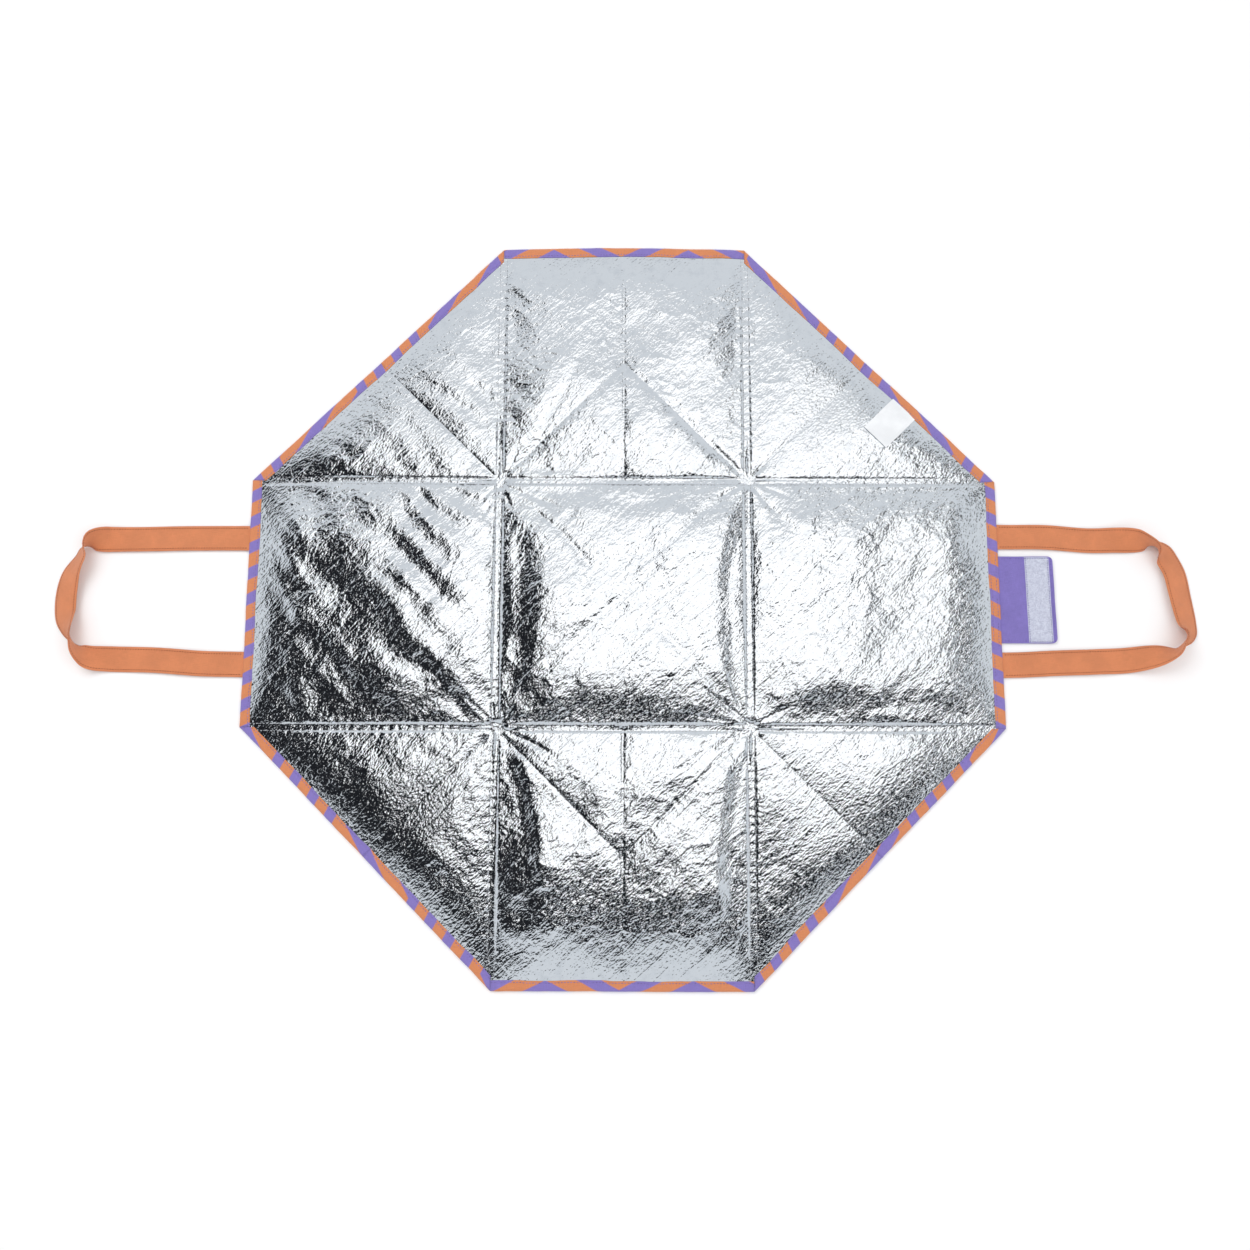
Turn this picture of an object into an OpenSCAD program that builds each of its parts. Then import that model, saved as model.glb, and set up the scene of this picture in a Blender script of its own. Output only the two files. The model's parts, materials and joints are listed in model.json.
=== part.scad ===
// Fold-out insulated mat that folds up into an open-topped carry bag.
// Flat, it is an octagon of thirteen quilted panels: a square base, four walls and
// eight half gussets at the corners. All panels hinge at the level of the foil lining.
// +X points to the right wall, +Y to the back wall, +Z out of the foil lining.

/* [Panels] */
// Side of the square base, which is also the width of each wall
base_side = 250; // [200:1:320]
// Height of each wall, from its crease to its hem
wall_height = 250; // [180:1:300]
// Gap left at each side of a crease between two panels
crease_gap = 0.15; // [0.1:0.05:0.4]
// Angle that a gusset bends back at a wall's side when the bag stands up
gusset_fold = 44; // [40:1:46]

/* [Layers] */
// Thickness of the striped outer cloth
shell_t = 0.6; // [0.4:0.1:1]
// Thickness of the foam core
foam_t = 4; // [3:0.5:6]
// Thickness of the foil lining
foil_t = 0.3; // [0.2:0.05:0.5]
// Thickness of the foam where the hem squeezes it
rim_foam_t = 1.5; // [1.5:0.1:1.8]

/* [Hem] */
// Width of the hem that is turned over onto the lining
hem_w = 10; // [8:0.5:14]
// Thickness of the hem's cloth
hem_t = 0.6; // [0.4:0.1:0.8]
// Gap between the hem's inner edge and the step in the lining
hem_gap = 0.2; // [0.2:0.1:1]

/* [Handles] */
// Width of the strap
strap_w = 25; // [20:1:38]
// Thickness of the strap
strap_t = 1.2; // [0.8:0.1:1.3]
// Distance between the middles of a handle's two arms
handle_spacing = 128; // [110:1:160]
// Distance that a handle's loop reaches past the hem
handle_reach = 190; // [150:1:260]
// Gap between a strap's moving loop and its sewn-in end
strap_gap = 0.6; // [0.3:0.1:1]

/* [Closure] */
// Width of the closure tab, along the hem
tab_w = 88; // [60:1:98]
// Distance that the closure tab reaches past the hem
tab_reach = 58; // [45:1:90]
// Distance of the tab's middle from the wall's middle
tab_shift = 4; // [-4:1:4]
// Thickness of the doubled cloth of the tab
tab_t = 1.0; // [0.6:0.1:1.2]
// Width of the hook tape and of the loop tape
tape_w = 24; // [16:1:30]
// Thickness of the hook tape and of the loop tape
tape_t = 1.0; // [0.8:0.1:1.5]
// Margin of cloth around the hook tape
tape_margin = 4; // [2:0.5:8]
// Distance from the left wall's hem to its loop tape
loop_tape_drop = 20; // [14:1:60]

/* [Care label] */
// Width of the bare care label, along the hem
label_w = 32; // [20:1:40]
// Length of the care label over the lining
label_l = 42; // [25:1:60]
// Thickness of the care label
label_t = 0.25; // [0.2:0.05:0.4]
// Distance from the corner's diagonal crease to the label
label_start = 44; // [30:1:70]

/* [Hidden] */
half = base_side / 2;
rim = half + wall_height;
// Room around what lies in a slot or a recess
slot_gap = 0.2;

// Heights of the layers, from the floor up
rim_top = shell_t + rim_foam_t;
foam_top = shell_t + foam_t;
fold_z = foam_top + foil_t;
hem_top = rim_top + foil_t + hem_t;

// Distances in from the outer edge
step_in = hem_w + hem_gap + foil_t;

// Kinds of edge: a crease that closes on the foil side, one that bends the other way, the hem
VALLEY = 0;
MOUNTAIN = 1;
RIM = 2;
// The edge of every hemmed outline that carries the hem
RIM_EDGE = 1;

WALLS = ["right_wall", "back_wall", "left_wall", "front_wall"];
GUSSETS = [
    for (corner = ["back_right", "back_left", "front_left", "front_right"])
        for (part = ["a", "b"])
            str("gusset_", corner, "_", part)
];
PANELS = concat(["base"], WALLS, GUSSETS);
HEMMED = concat(WALLS, GUSSETS);

// Outline and edge kinds of a panel, before it is turned to its own corner or side
base_outline = [[half, half], [-half, half], [-half, -half], [half, -half]];
wall_outline = [[half, -half], [rim, -half], [rim, half], [half, half]];
gusset_outline = [[half, half], [rim, half], [(half + rim) / 2, (half + rim) / 2]];

function place_in(name, list) = search([name], list)[0];
function is_gusset(name) = place_in(name, GUSSETS) != [];
function outline(name) = name == "base" ? base_outline : is_gusset(name) ? gusset_outline : wall_outline;
function edge_kinds(name) = name == "base" ? [VALLEY, VALLEY, VALLEY, VALLEY]
    : is_gusset(name) ? [MOUNTAIN, RIM, VALLEY]
    : [MOUNTAIN, RIM, MOUNTAIN, VALLEY];

// A piece that reaches down to height z stands back from a crease that bends the other way
function mountain_gap(z) = crease_gap + (fold_z - z) * tan(gusset_fold / 2);
function gaps(name, z, rim_gap) = [
    for (kind = edge_kinds(name))
        kind == RIM ? rim_gap : kind == MOUNTAIN ? mountain_gap(z) : crease_gap
];

// An outline moved inwards, each edge by its own distance
function side_dir(pts, i) = let (d = pts[(i + 1) % len(pts)] - pts[i]) d / norm(d);
function inset_line(pts, i, gap) = let (d = side_dir(pts, i)) pts[i] + gap * [-d.y, d.x];
function inset_corner(pts, gap, i) =
    let (
        j = (i + len(pts) - 1) % len(pts),
        p = inset_line(pts, j, gap[j]),
        q = inset_line(pts, i, gap[i]),
        u = side_dir(pts, j),
        v = side_dir(pts, i),
        along = ((q - p).x * v.y - (q - p).y * v.x) / (u.x * v.y - u.y * v.x)
    )
    p + along * u;
function inset(pts, gap) = [for (i = [0 : len(pts) - 1]) inset_corner(pts, gap, i)];

// A handle's route beside the right hem: distance out from the hem, distance along it, and
// the direction across the strap. The strap lies flat, twists over and stands at its bend.
right_route = [
    [50, 68, [0, 1, 0]], [90, 65, [0, 1, 0]], [126, 65, [0, 20, 15]],
    [144, 62, [3, 11, 22]], [159, 57, [-4, 2, 25]], [168, 47, [-20, -2, 15]],
    [175, 30, [-23, 0, 9]], [179, 8, [-21, 0, 13]], [183, -17, [-20, 0, 15]],
    [182, -31, [-15, -4, 20]], [176, -41, [-5, -2, 24]], [168, -50, [-4, -12, 22]],
    [148, -54, [4, -22, 10]], [123, -57, [3, -24, 0]]
];
left_route = [
    [125, 64, [0, 1, 0]], [148, 62, [-3, 20, 14]], [160, 60, [-7, 8, 24]],
    [168, 46, [-12, 6, 21]], [176, 25, [-16, 5, 18]], [180, 4, [-20, 0, 14]],
    [180, -13, [-20, 0, 15]], [172, -32, [-10, -1, 23]], [167, -42, [-5, -6, 24]],
    [161, -52, [2, -14, 20]], [151, -57, [3, -23, 8]], [132, -58, [0, -1, 0]]
];
// Where the two arms of each handle leave the hem
right_arms = [68, -62];
left_arms = [65, -63];
// The reach and spacing that the routes are drawn for
route_reach = 190;
route_spacing = 128;

function arm_side(side) = side * handle_spacing / route_spacing;
function strap_stations(route, arms, start) = concat(
    [[start, arm_side(arms[0]), [0, 1, 0]]],
    [for (s = route) [s[0] * handle_reach / route_reach, arm_side(s[1]), s[2] / norm(s[2])]],
    [[start, arm_side(arms[1]), [0, -1, 0]]]
);
function middle(s) = [rim + s[0], s[1], shell_t + strap_t / 2 + abs(s[2].z) * strap_w / 2];
function heading(st, i) =
    let (a = middle(st[max(i - 1, 0)]), b = middle(st[min(i + 1, len(st) - 1)])) (b - a) / norm(b - a);
function strap_corners(st, i) =
    let (
        m = middle(st[i]),
        across = st[i][2] * strap_w / 2,
        up = cross(heading(st, i), st[i][2]),
        thick = up / norm(up) * strap_t / 2
    )
    [m + across + thick, m - across + thick, m - across - thick, m + across - thick];

// ---- Shapes shared by several pieces ----

module slab(pts, z0, z1) {
    translate([0, 0, z0]) linear_extrude(z1 - z0) polygon(pts);
}

// A strip along the hem edge of a panel, between two distances in from that edge
module rim_strip(name, in0, in1, z0, z1, z_gap) {
    outer = inset(outline(name), gaps(name, z_gap, in0));
    inner = inset(outline(name), gaps(name, z_gap, in1));
    slab([outer[RIM_EDGE], outer[RIM_EDGE + 1], inner[RIM_EDGE + 1], inner[RIM_EDGE]], z0, z1);
}

// Turns a panel's pieces from the right side or the back right corner to their own place
module placed(name) {
    if (is_gusset(name)) {
        index = place_in(name, GUSSETS);
        corner = floor(index / 2);
        flip_x = corner == 1 || corner == 2 ? 1 : 0;
        flip_y = corner >= 2 ? 1 : 0;
        swap = index % 2;
        mirror([flip_x, 0, 0]) mirror([0, flip_y, 0]) mirror(swap * [1, -1, 0]) children();
    } else {
        turns = name == "base" ? 0 : place_in(name, WALLS);
        rotate([0, 0, 90 * turns]) children();
    }
}

// Room for the ends of the straps and of the tab, between the layers of a side wall's rim
module end_slots(arms, z0, z1) {
    for (side = arms)
        translate([rim - step_in, arm_side(side) - strap_w / 2 - slot_gap, z0])
            cube([step_in + 1, strap_w + 2 * slot_gap, z1 - z0]);
}

module tab_slot(z0, z1) {
    translate([rim - step_in, tab_shift - tab_w / 2 - slot_gap, z0])
        cube([step_in + 1, tab_w + 2 * slot_gap, z1 - z0]);
}

// The left wall is the right one turned half round, so its slots change sides here
module rim_slots(name, z0, z1) {
    if (name == "right_wall") {
        end_slots(right_arms, z0, z1);
        tab_slot(z0, z1);
    }
    if (name == "left_wall") end_slots(-left_arms, z0, z1);
}

// The recess under the left wall that holds the loop tape, in the right wall's place
module tape_recess(gap, z1) {
    translate([rim - loop_tape_drop - tape_w - gap, -tab_shift - tab_w / 2 - gap, -1])
        cube([tape_w + 2 * gap, tab_w + 2 * gap, z1 + 1]);
}

// ---- Layers of the panels ----

module shell(name) {
    color("mediumpurple") placed(name) difference() {
        slab(inset(outline(name), gaps(name, 0, hem_t)), 0, shell_t);
        if (name == "left_wall") tape_recess(slot_gap, shell_t + 1);
    }
}

module foam(name) {
    color("white") placed(name) difference() {
        union() {
            slab(inset(outline(name), gaps(name, shell_t, hem_t)), shell_t, rim_top);
            slab(inset(outline(name), gaps(name, shell_t, step_in)), rim_top, foam_top);
        }
        rim_slots(name, shell_t - 1, rim_top + 1);
        if (name == "left_wall") tape_recess(slot_gap, tape_t + slot_gap);
    }
}

module foil(name) {
    color("silver") placed(name) {
        slab(inset(outline(name), gaps(name, foam_top, step_in - foil_t)), foam_top, fold_z);
        if (name != "base") {
            rim_strip(name, step_in - foil_t, step_in, rim_top, foam_top, rim_top);
            rim_strip(name, hem_t, step_in, rim_top, rim_top + foil_t, rim_top);
        }
    }
}

module hem(name) {
    color("coral") placed(name) difference() {
        union() {
            rim_strip(name, 0, hem_w, hem_top - hem_t, hem_top, 0);
            rim_strip(name, 0, hem_t, 0, hem_top, 0);
        }
        rim_slots(name, shell_t, rim_top - slot_gap / 2);
    }
}

// ---- Handles ----

module strap(stations) {
    count = len(stations);
    points = [for (i = [0 : count - 1]) each strap_corners(stations, i)];
    sides = [
        for (i = [0 : count - 2]) for (k = [0 : 3])
            let (a = 4 * i + k, b = 4 * i + (k + 1) % 4)
            each [[a, b, b + 4], [a, b + 4, a + 4]]
    ];
    last = 4 * (count - 1);
    ends = [[0, 2, 1], [0, 3, 2], [last, last + 1, last + 2], [last, last + 2, last + 3]];
    polyhedron(points, concat(sides, ends));
}

module handle_right() {
    color("sandybrown") strap(strap_stations(right_route, right_arms, strap_gap));
}

module handle_left() {
    color("sandybrown") mirror([1, 0, 0]) strap(strap_stations(left_route, left_arms, strap_gap));
}

module strap_ends(arms) {
    for (side = arms)
        translate([rim - hem_w, arm_side(side) - strap_w / 2, shell_t])
            cube([hem_w, strap_w, strap_t]);
}

module handle_right_ends() {
    color("peru") strap_ends(right_arms);
}

module handle_left_ends() {
    color("peru") mirror([1, 0, 0]) strap_ends(left_arms);
}

// ---- Closure ----

module closure_tab() {
    color("slateblue") translate([rim + strap_gap, tab_shift - tab_w / 2, shell_t])
        cube([tab_reach - strap_gap, tab_w, tab_t]);
}

module closure_tab_end() {
    color("darkslateblue") translate([rim - hem_w, tab_shift - tab_w / 2, shell_t])
        cube([hem_w, tab_w, tab_t]);
}

module hook_tape() {
    color("lavender")
        translate([rim + tab_reach - tape_margin - tape_w, tab_shift - tab_w / 2 + tape_margin / 2, shell_t + tab_t])
            cube([tape_w, tab_w - tape_margin, tape_t]);
}

module loop_tape() {
    color("lavender") rotate([0, 0, 180])
        translate([rim - loop_tape_drop - tape_w, -tab_shift - tab_w / 2, 0])
            cube([tape_w, tab_w, tape_t]);
}

// ---- Care label, on the half gusset beside the right wall ----

module care_label() {
    corner = [(half + rim) / 2, (half + rim) / 2, fold_z];
    color("white") translate(corner) rotate([0, 0, -45])
        translate([label_start, -hem_w - hem_gap - foil_t - label_l, 0])
            cube([label_w, label_l, label_t]);
}

for (p = PANELS) shell(p);
for (p = PANELS) foam(p);
for (p = PANELS) foil(p);
for (p = HEMMED) hem(p);
handle_left();
handle_right();
handle_left_ends();
handle_right_ends();
closure_tab();
closure_tab_end();
hook_tape();
loop_tape();
care_label();
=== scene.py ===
"""Looks of a fold-out insulated foam mat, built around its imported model.

The mat is an octagon of thirteen quilted panels. Each panel gets a padded piece of foam
with a crinkled foil face, a piece of zigzag-striped outer cloth, and a hem. Straps, a
closure tab with its tapes, a care label and all sewing threads complete it.
"""

from __future__ import annotations

import json
import logging
import math
from collections.abc import Callable, Sequence
from dataclasses import dataclass, field
from enum import Enum

import bpy
import numpy as np
from mathutils import Euler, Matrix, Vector

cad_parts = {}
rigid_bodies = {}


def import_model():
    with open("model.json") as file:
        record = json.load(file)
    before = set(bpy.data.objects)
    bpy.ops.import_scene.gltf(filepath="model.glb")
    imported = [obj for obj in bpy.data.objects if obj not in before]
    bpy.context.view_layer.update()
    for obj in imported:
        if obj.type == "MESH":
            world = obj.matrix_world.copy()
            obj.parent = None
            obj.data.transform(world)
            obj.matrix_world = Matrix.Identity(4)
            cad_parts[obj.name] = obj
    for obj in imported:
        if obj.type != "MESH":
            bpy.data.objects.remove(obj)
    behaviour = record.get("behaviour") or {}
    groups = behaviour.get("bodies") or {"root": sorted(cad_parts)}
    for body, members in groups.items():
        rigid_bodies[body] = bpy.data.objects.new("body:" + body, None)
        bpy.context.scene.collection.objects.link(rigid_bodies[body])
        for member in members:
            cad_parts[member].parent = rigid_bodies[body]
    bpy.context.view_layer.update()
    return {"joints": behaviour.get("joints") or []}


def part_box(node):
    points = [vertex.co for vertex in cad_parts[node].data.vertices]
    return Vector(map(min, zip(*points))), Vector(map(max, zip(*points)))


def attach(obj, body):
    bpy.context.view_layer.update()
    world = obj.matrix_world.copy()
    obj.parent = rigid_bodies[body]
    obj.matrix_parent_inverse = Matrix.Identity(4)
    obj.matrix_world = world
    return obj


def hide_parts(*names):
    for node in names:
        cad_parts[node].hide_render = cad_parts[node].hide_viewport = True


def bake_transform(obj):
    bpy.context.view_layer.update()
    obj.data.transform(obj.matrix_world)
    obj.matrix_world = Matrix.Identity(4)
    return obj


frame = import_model()

MM = 0.001
DIAGONAL = math.sqrt(0.5)
UV_NAME = "unfolded"

Array = np.ndarray
Colour = tuple[float, float, float]
log = logging.getLogger("mat")


class PanelKind(Enum):
    """The three shapes of panel."""

    BASE = "base"
    WALL = "wall"
    GUSSET = "gusset"


class ThreadKind(Enum):
    """Where a sewing thread is used, which sets its colour."""

    LINING = "lining"
    HEM = "hem"
    STRAP = "strap"
    TAB = "tab"


# ---------------------------------------------------------------- the mat's plan


@dataclass(frozen=True)
class Panel:
    """One panel, drawn at the right side or the back right corner and turned to its place.

    Attributes:
        name: The body's name.
        kind: The panel's shape.
        turn: The 2 x 2 matrix from the drawn place to the real one.
        hinged_on: The body across the crease that the panel folds at.
        second: True for the half of a gusset that hangs on the other half.
    """

    name: str
    kind: PanelKind
    turn: Array
    hinged_on: str | None
    second: bool = False

    def placed(self, points: Array) -> Array:
        """Points of the drawn place, turned to the real one."""
        return np.asarray(points, float) @ self.turn.T

    @property
    def mirrored(self) -> bool:
        """True where the turn swaps left and right, so that faces need reversing."""
        return float(np.linalg.det(self.turn)) < 0


@dataclass(frozen=True)
class MatPlan:
    """The mat's outline and levels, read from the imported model, in metres."""

    half: float
    rim: float
    fold_z: float
    floor_z: float
    hem_width: float
    panels: tuple[Panel, ...]

    @staticmethod
    def from_frame() -> MatPlan:
        """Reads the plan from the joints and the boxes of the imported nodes."""
        joints = {j["child"]: j for j in frame["joints"]}
        wall = joints["right_wall"]
        low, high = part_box("hem_right_wall")
        panels = [Panel("base", PanelKind.BASE, np.eye(2), None)]
        for turns, name in enumerate(("right_wall", "back_wall", "left_wall", "front_wall")):
            angle = turns * math.pi / 2
            turn = np.array([[math.cos(angle), -math.sin(angle)], [math.sin(angle), math.cos(angle)]])
            panels.append(Panel(name, PanelKind.WALL, turn.round(9), joints[name]["parent"]))
        corners = {"back_right": (1, 1), "back_left": (-1, 1), "front_left": (-1, -1), "front_right": (1, -1)}
        for corner, (side, end) in corners.items():
            for part, swap in (("a", np.eye(2)), ("b", np.array([[0.0, 1.0], [1.0, 0.0]]))):
                name = f"gusset_{corner}_{part}"
                turn = np.diag([float(side), float(end)]) @ swap
                panels.append(Panel(name, PanelKind.GUSSET, turn, joints[name]["parent"], part == "b"))
        return MatPlan(
            half=abs(wall["pos_m"][0]),
            rim=high.x,
            fold_z=wall["pos_m"][2],
            floor_z=0.0,
            hem_width=high.x - low.x,
            panels=tuple(panels),
        )

    def outline(self, kind: PanelKind) -> Array:
        """The drawn corners of a panel, anticlockwise. Edge 1 of a wall or gusset has the hem."""
        half, rim = self.half, self.rim
        middle = (half + rim) / 2
        corners = {
            PanelKind.BASE: [(half, half), (-half, half), (-half, -half), (half, -half)],
            PanelKind.WALL: [(half, -half), (rim, -half), (rim, half), (half, half)],
            PanelKind.GUSSET: [(half, half), (rim, half), (middle, middle)],
        }
        return np.array(corners[kind])

    def rim_distance(self, x: Array, y: Array) -> Array:
        """How far points lie inside the octagon's outer edge."""
        a, b = np.abs(x), np.abs(y)
        slant = (self.rim + self.half - a - b) * DIAGONAL
        return np.minimum(np.minimum(self.rim - a, self.rim - b), slant)

    def bend(self, panel: Panel, length: float) -> tuple[Array, Array]:
        """Where a panel's bend at its crease starts and ends, in the real place."""
        half = self.half
        if panel.kind is PanelKind.WALL:
            start, way = (half, 0.0), (1.0, 0.0)
        elif panel.second:
            start, way = (half, half), (DIAGONAL, -DIAGONAL)
        else:
            start, way = (half, half), (0.0, 1.0)
        begin = np.array(start)
        return panel.placed(begin), panel.placed(begin + length * np.array(way))


def inset(corners: Array, gaps: Sequence[float]) -> Array:
    """Moves each side of a convex outline inwards.

    Args:
        corners: The outline's corners, anticlockwise.
        gaps: How far each side moves; side i runs from corner i to the next.

    Returns:
        The corners of the smaller outline.
    """
    count = len(corners)
    ways = [corners[(i + 1) % count] - corners[i] for i in range(count)]
    ways = [w / np.linalg.norm(w) for w in ways]
    lines = [corners[i] + gaps[i] * np.array([-ways[i][1], ways[i][0]]) for i in range(count)]
    out = []
    for i in range(count):
        u, v = ways[i - 1], ways[i]
        across = lines[i] - lines[i - 1]
        along = (across[0] * v[1] - across[1] * v[0]) / (u[0] * v[1] - u[1] * v[0])
        out.append(lines[i - 1] + along * u)
    return np.array(out)


# ---------------------------------------------------------------- noise and surfaces


@dataclass(frozen=True)
class LatticeNoise:
    """Smooth noise from -1 to 1 on a wrapped lattice of seeded values."""

    seed: int
    size: int = 256

    def __call__(self, x: Array, y: Array) -> Array:
        """The noise at points given in lattice steps."""
        values = np.random.default_rng(self.seed).uniform(-1, 1, (self.size, self.size))
        ix, iy = np.floor(x).astype(int), np.floor(y).astype(int)
        fx, fy = x - ix, y - iy
        fx, fy = (f * f * f * (f * (f * 6 - 15) + 10) for f in (fx, fy))
        ix, iy = ix % self.size, iy % self.size
        jx, jy = (ix + 1) % self.size, (iy + 1) % self.size
        low = values[ix, iy] * (1 - fx) + values[jx, iy] * fx
        high = values[ix, jy] * (1 - fx) + values[jx, jy] * fx
        return low * (1 - fy) + high * fy


def smooth_step(value: Array, low: float, high: float) -> Array:
    """Goes smoothly from 0 at low to 1 at high."""
    t = np.clip((value - low) / (high - low), 0, 1)
    return t * t * (3 - 2 * t)


@dataclass(frozen=True)
class TensionFold:
    """A long bowed fold where the film is pulled tight.

    Attributes:
        start, end: Its ends on the unfolded mat.
        bow: How far its middle stands to the left of the straight line.
        depth: How deep its hollow is.
        rise: How far the film steps up to the left of it.
        width: Half its width.
    """

    start: tuple[float, float]
    end: tuple[float, float]
    bow: float
    depth: float
    rise: float
    width: float

    def lift(self, x: Array, y: Array) -> Array:
        """How far the film rises at each place."""
        start, end = np.array(self.start), np.array(self.end)
        way = end - start
        length = float(np.linalg.norm(way))
        way = way / length
        along = ((x - start[0]) * way[0] + (y - start[1]) * way[1]) / length
        side = (y - start[1]) * way[0] - (x - start[0]) * way[1]
        side = side - self.bow * 4 * along * (1 - along)
        side = side + 0.12 * self.width * LatticeNoise(15)(along * length / 0.02 + 30, along * 0)
        ends = smooth_step(along, 0.0, 0.25) * (1 - smooth_step(along, 0.75, 1.0))
        hollow = -self.depth * np.exp(-((side / self.width) ** 2))
        fade = smooth_step(side, self.width, self.width + 75 * MM)
        step = smooth_step(side, -self.width, self.width) * (1 - fade)
        return ends * (hollow + self.rise * step)


def corner_star(corner: tuple[float, float], seed: int, count: int = 9) -> list[TensionFold]:
    """Thin creases that spread from a corner where seams cross.

    Args:
        corner: The crossing.
        seed: Fixes the creases' directions and lengths.
        count: How many creases.

    Returns:
        The creases.
    """
    chance = np.random.default_rng(seed)
    rays = []
    for index in range(count):
        angle = 2 * math.pi * (index + chance.uniform(-0.35, 0.35)) / count + 0.3
        near, far = 0.002, chance.uniform(0.028, 0.075)
        way = np.array([math.cos(angle), math.sin(angle)])
        start, end = (tuple(np.array(corner) + reach * way) for reach in (-near - 0.3 * far, far))
        depth = chance.uniform(0.25, 0.5) * MM
        rays.append(TensionFold(start, end, chance.uniform(-2, 2) * MM, depth, 0.0, 2.4 * MM))
    return rays


@dataclass(frozen=True)
class QuiltSurface:
    """The foil's and the outer cloth's heights over the unfolded mat, in metres."""

    plan: MatPlan
    seam_drop: float = 2.1 * MM
    puff: float = 2.7 * MM
    gusset_puff: float = 2.1 * MM
    pillow: float = 72 * MM
    channel: float = 3.6 * MM
    channel_lip: float = 0.50 * MM
    rim_level: float = 2.35 * MM
    cloth_thickness: float = 0.5 * MM
    groove: float = 1.3 * MM
    folds: tuple[TensionFold, ...] = (
        TensionFold((-0.116, 0.122), (-0.116, -0.122), 0.024, 0.2 * MM, 1.3 * MM, 12 * MM),
        TensionFold((0.118, -0.118), (0.118, 0.112), 0.018, 0.2 * MM, 1.0 * MM, 8 * MM),
        TensionFold((-0.112, -0.116), (0.112, -0.116), 0.014, 0.0, 0.8 * MM, 15 * MM),
        TensionFold((0.075, 0.118), (-0.060, 0.118), 0.022, 0.0, 0.9 * MM, 11 * MM),
        TensionFold((-0.112, 0.112), (-0.020, 0.020), 0.006, 0.35 * MM, 0.2 * MM, 4 * MM),
        TensionFold((0.112, 0.112), (0.025, 0.035), -0.006, 0.4 * MM, 0.2 * MM, 5 * MM),
        TensionFold((-0.112, -0.112), (0.070, 0.065), 0.010, 0.25 * MM, 0.2 * MM, 4 * MM),
        TensionFold((0.112, -0.112), (0.010, -0.010), -0.006, 0.4 * MM, 0.3 * MM, 5 * MM),
        TensionFold((-0.330, 0.085), (-0.135, -0.115), -0.010, 0.2 * MM, 1.5 * MM, 17 * MM),
        TensionFold((-0.360, 0.020), (-0.200, -0.120), -0.006, 0.2 * MM, 1.2 * MM, 15 * MM),
        TensionFold((-0.290, 0.115), (-0.140, -0.030), 0.008, 0.2 * MM, 1.0 * MM, 13 * MM),
        TensionFold((0.135, -0.104), (0.360, -0.100), 0.008, 0.0, 1.1 * MM, 14 * MM),
        TensionFold((0.140, 0.110), (0.260, 0.020), -0.010, 0.3 * MM, 0.3 * MM, 6 * MM),
        TensionFold((-0.112, 0.135), (-0.040, 0.280), -0.006, 0.4 * MM, 0.6 * MM, 6 * MM),
        TensionFold((0.112, 0.137), (0.030, 0.240), 0.006, 0.4 * MM, 0.5 * MM, 6 * MM),
        TensionFold((-0.114, -0.137), (-0.085, -0.300), 0.010, 0.2 * MM, 1.4 * MM, 9 * MM),
        TensionFold((0.100, -0.330), (0.114, -0.137), 0.008, 0.2 * MM, 1.5 * MM, 9 * MM),
        TensionFold((0.150, -0.230), (-0.150, -0.230), 0.010, 0.0, 2.4 * MM, 45 * MM),
    )
    star_seeds: tuple[int, ...] = (71, 72, 73, 74)

    def _all_folds(self) -> list[TensionFold]:
        """The tension folds and the stars at the base's four corners."""
        half = self.plan.half
        corners = ((half, half), (-half, half), (-half, -half), (half, -half))
        stars = [corner_star(corner, seed) for corner, seed in zip(corners, self.star_seeds)]
        return [*self.folds, *(fold for star in stars for fold in star)]

    def _grain(self, x: Array, y: Array) -> tuple[Array, Array]:
        """Coordinates along and across the foil's slanting crinkles."""
        return (x + y) * DIAGONAL, (y - x) * DIAGONAL

    def _creases(self, x: Array, y: Array) -> Array:
        """Depth of the folded creases that no seam holds down."""
        half = self.plan.half
        a, b = np.abs(x), np.abs(y)
        upright = smooth_step(b, half - 4 * MM, half + 4 * MM) * (a < half)
        middle = a + 0.9 * MM * LatticeNoise(21)(y / 0.02, y * 0)
        depth = (0.15 + 0.65 * upright) * self._fold_line(middle) * (a < half)
        vee = np.abs(a + b - 2 * half) * DIAGONAL
        depth += 0.7 * self._fold_line(vee) * upright
        corner = (a > half) & (b > half)
        depth += 0.9 * self._fold_line(np.abs(a - b) * DIAGONAL) * corner
        return depth

    @staticmethod
    def _fold_line(distance: Array) -> Array:
        """The dip beside a folded crease: a sharp nick within a wide hollow."""
        return 0.28 * MM * np.exp(-distance / (1.6 * MM)) + 1.25 * MM * np.exp(-distance / (15 * MM))

    def _waves(self, x: Array, y: Array) -> Array:
        """Broad waves of the panels and the slanting ripples that packing leaves."""
        along, across = self._grain(x, y)
        broad = 1.05 * MM * LatticeNoise(3)(x / 0.070 + 40, y / 0.070 + 40)
        broad += 0.36 * MM * LatticeNoise(4)(along / 0.045 + 9, across / 0.024 + 17)
        broad += 0.12 * MM * LatticeNoise(14)(along / 0.022 + 9, across / 0.010 + 17)
        sway = 0.45 * LatticeNoise(5)(x / 0.06 + 60, y / 0.06 + 60)
        left = smooth_step(-x, 0.06, 0.16)
        ripple = np.sin(2 * math.pi * (along / 0.030 + sway))
        strength = (0.08 + 0.26 * left) * (0.5 + 0.5 * LatticeNoise(6)(x / 0.05 + 30, y / 0.05 + 30))
        return broad + strength * MM * ripple

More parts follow.
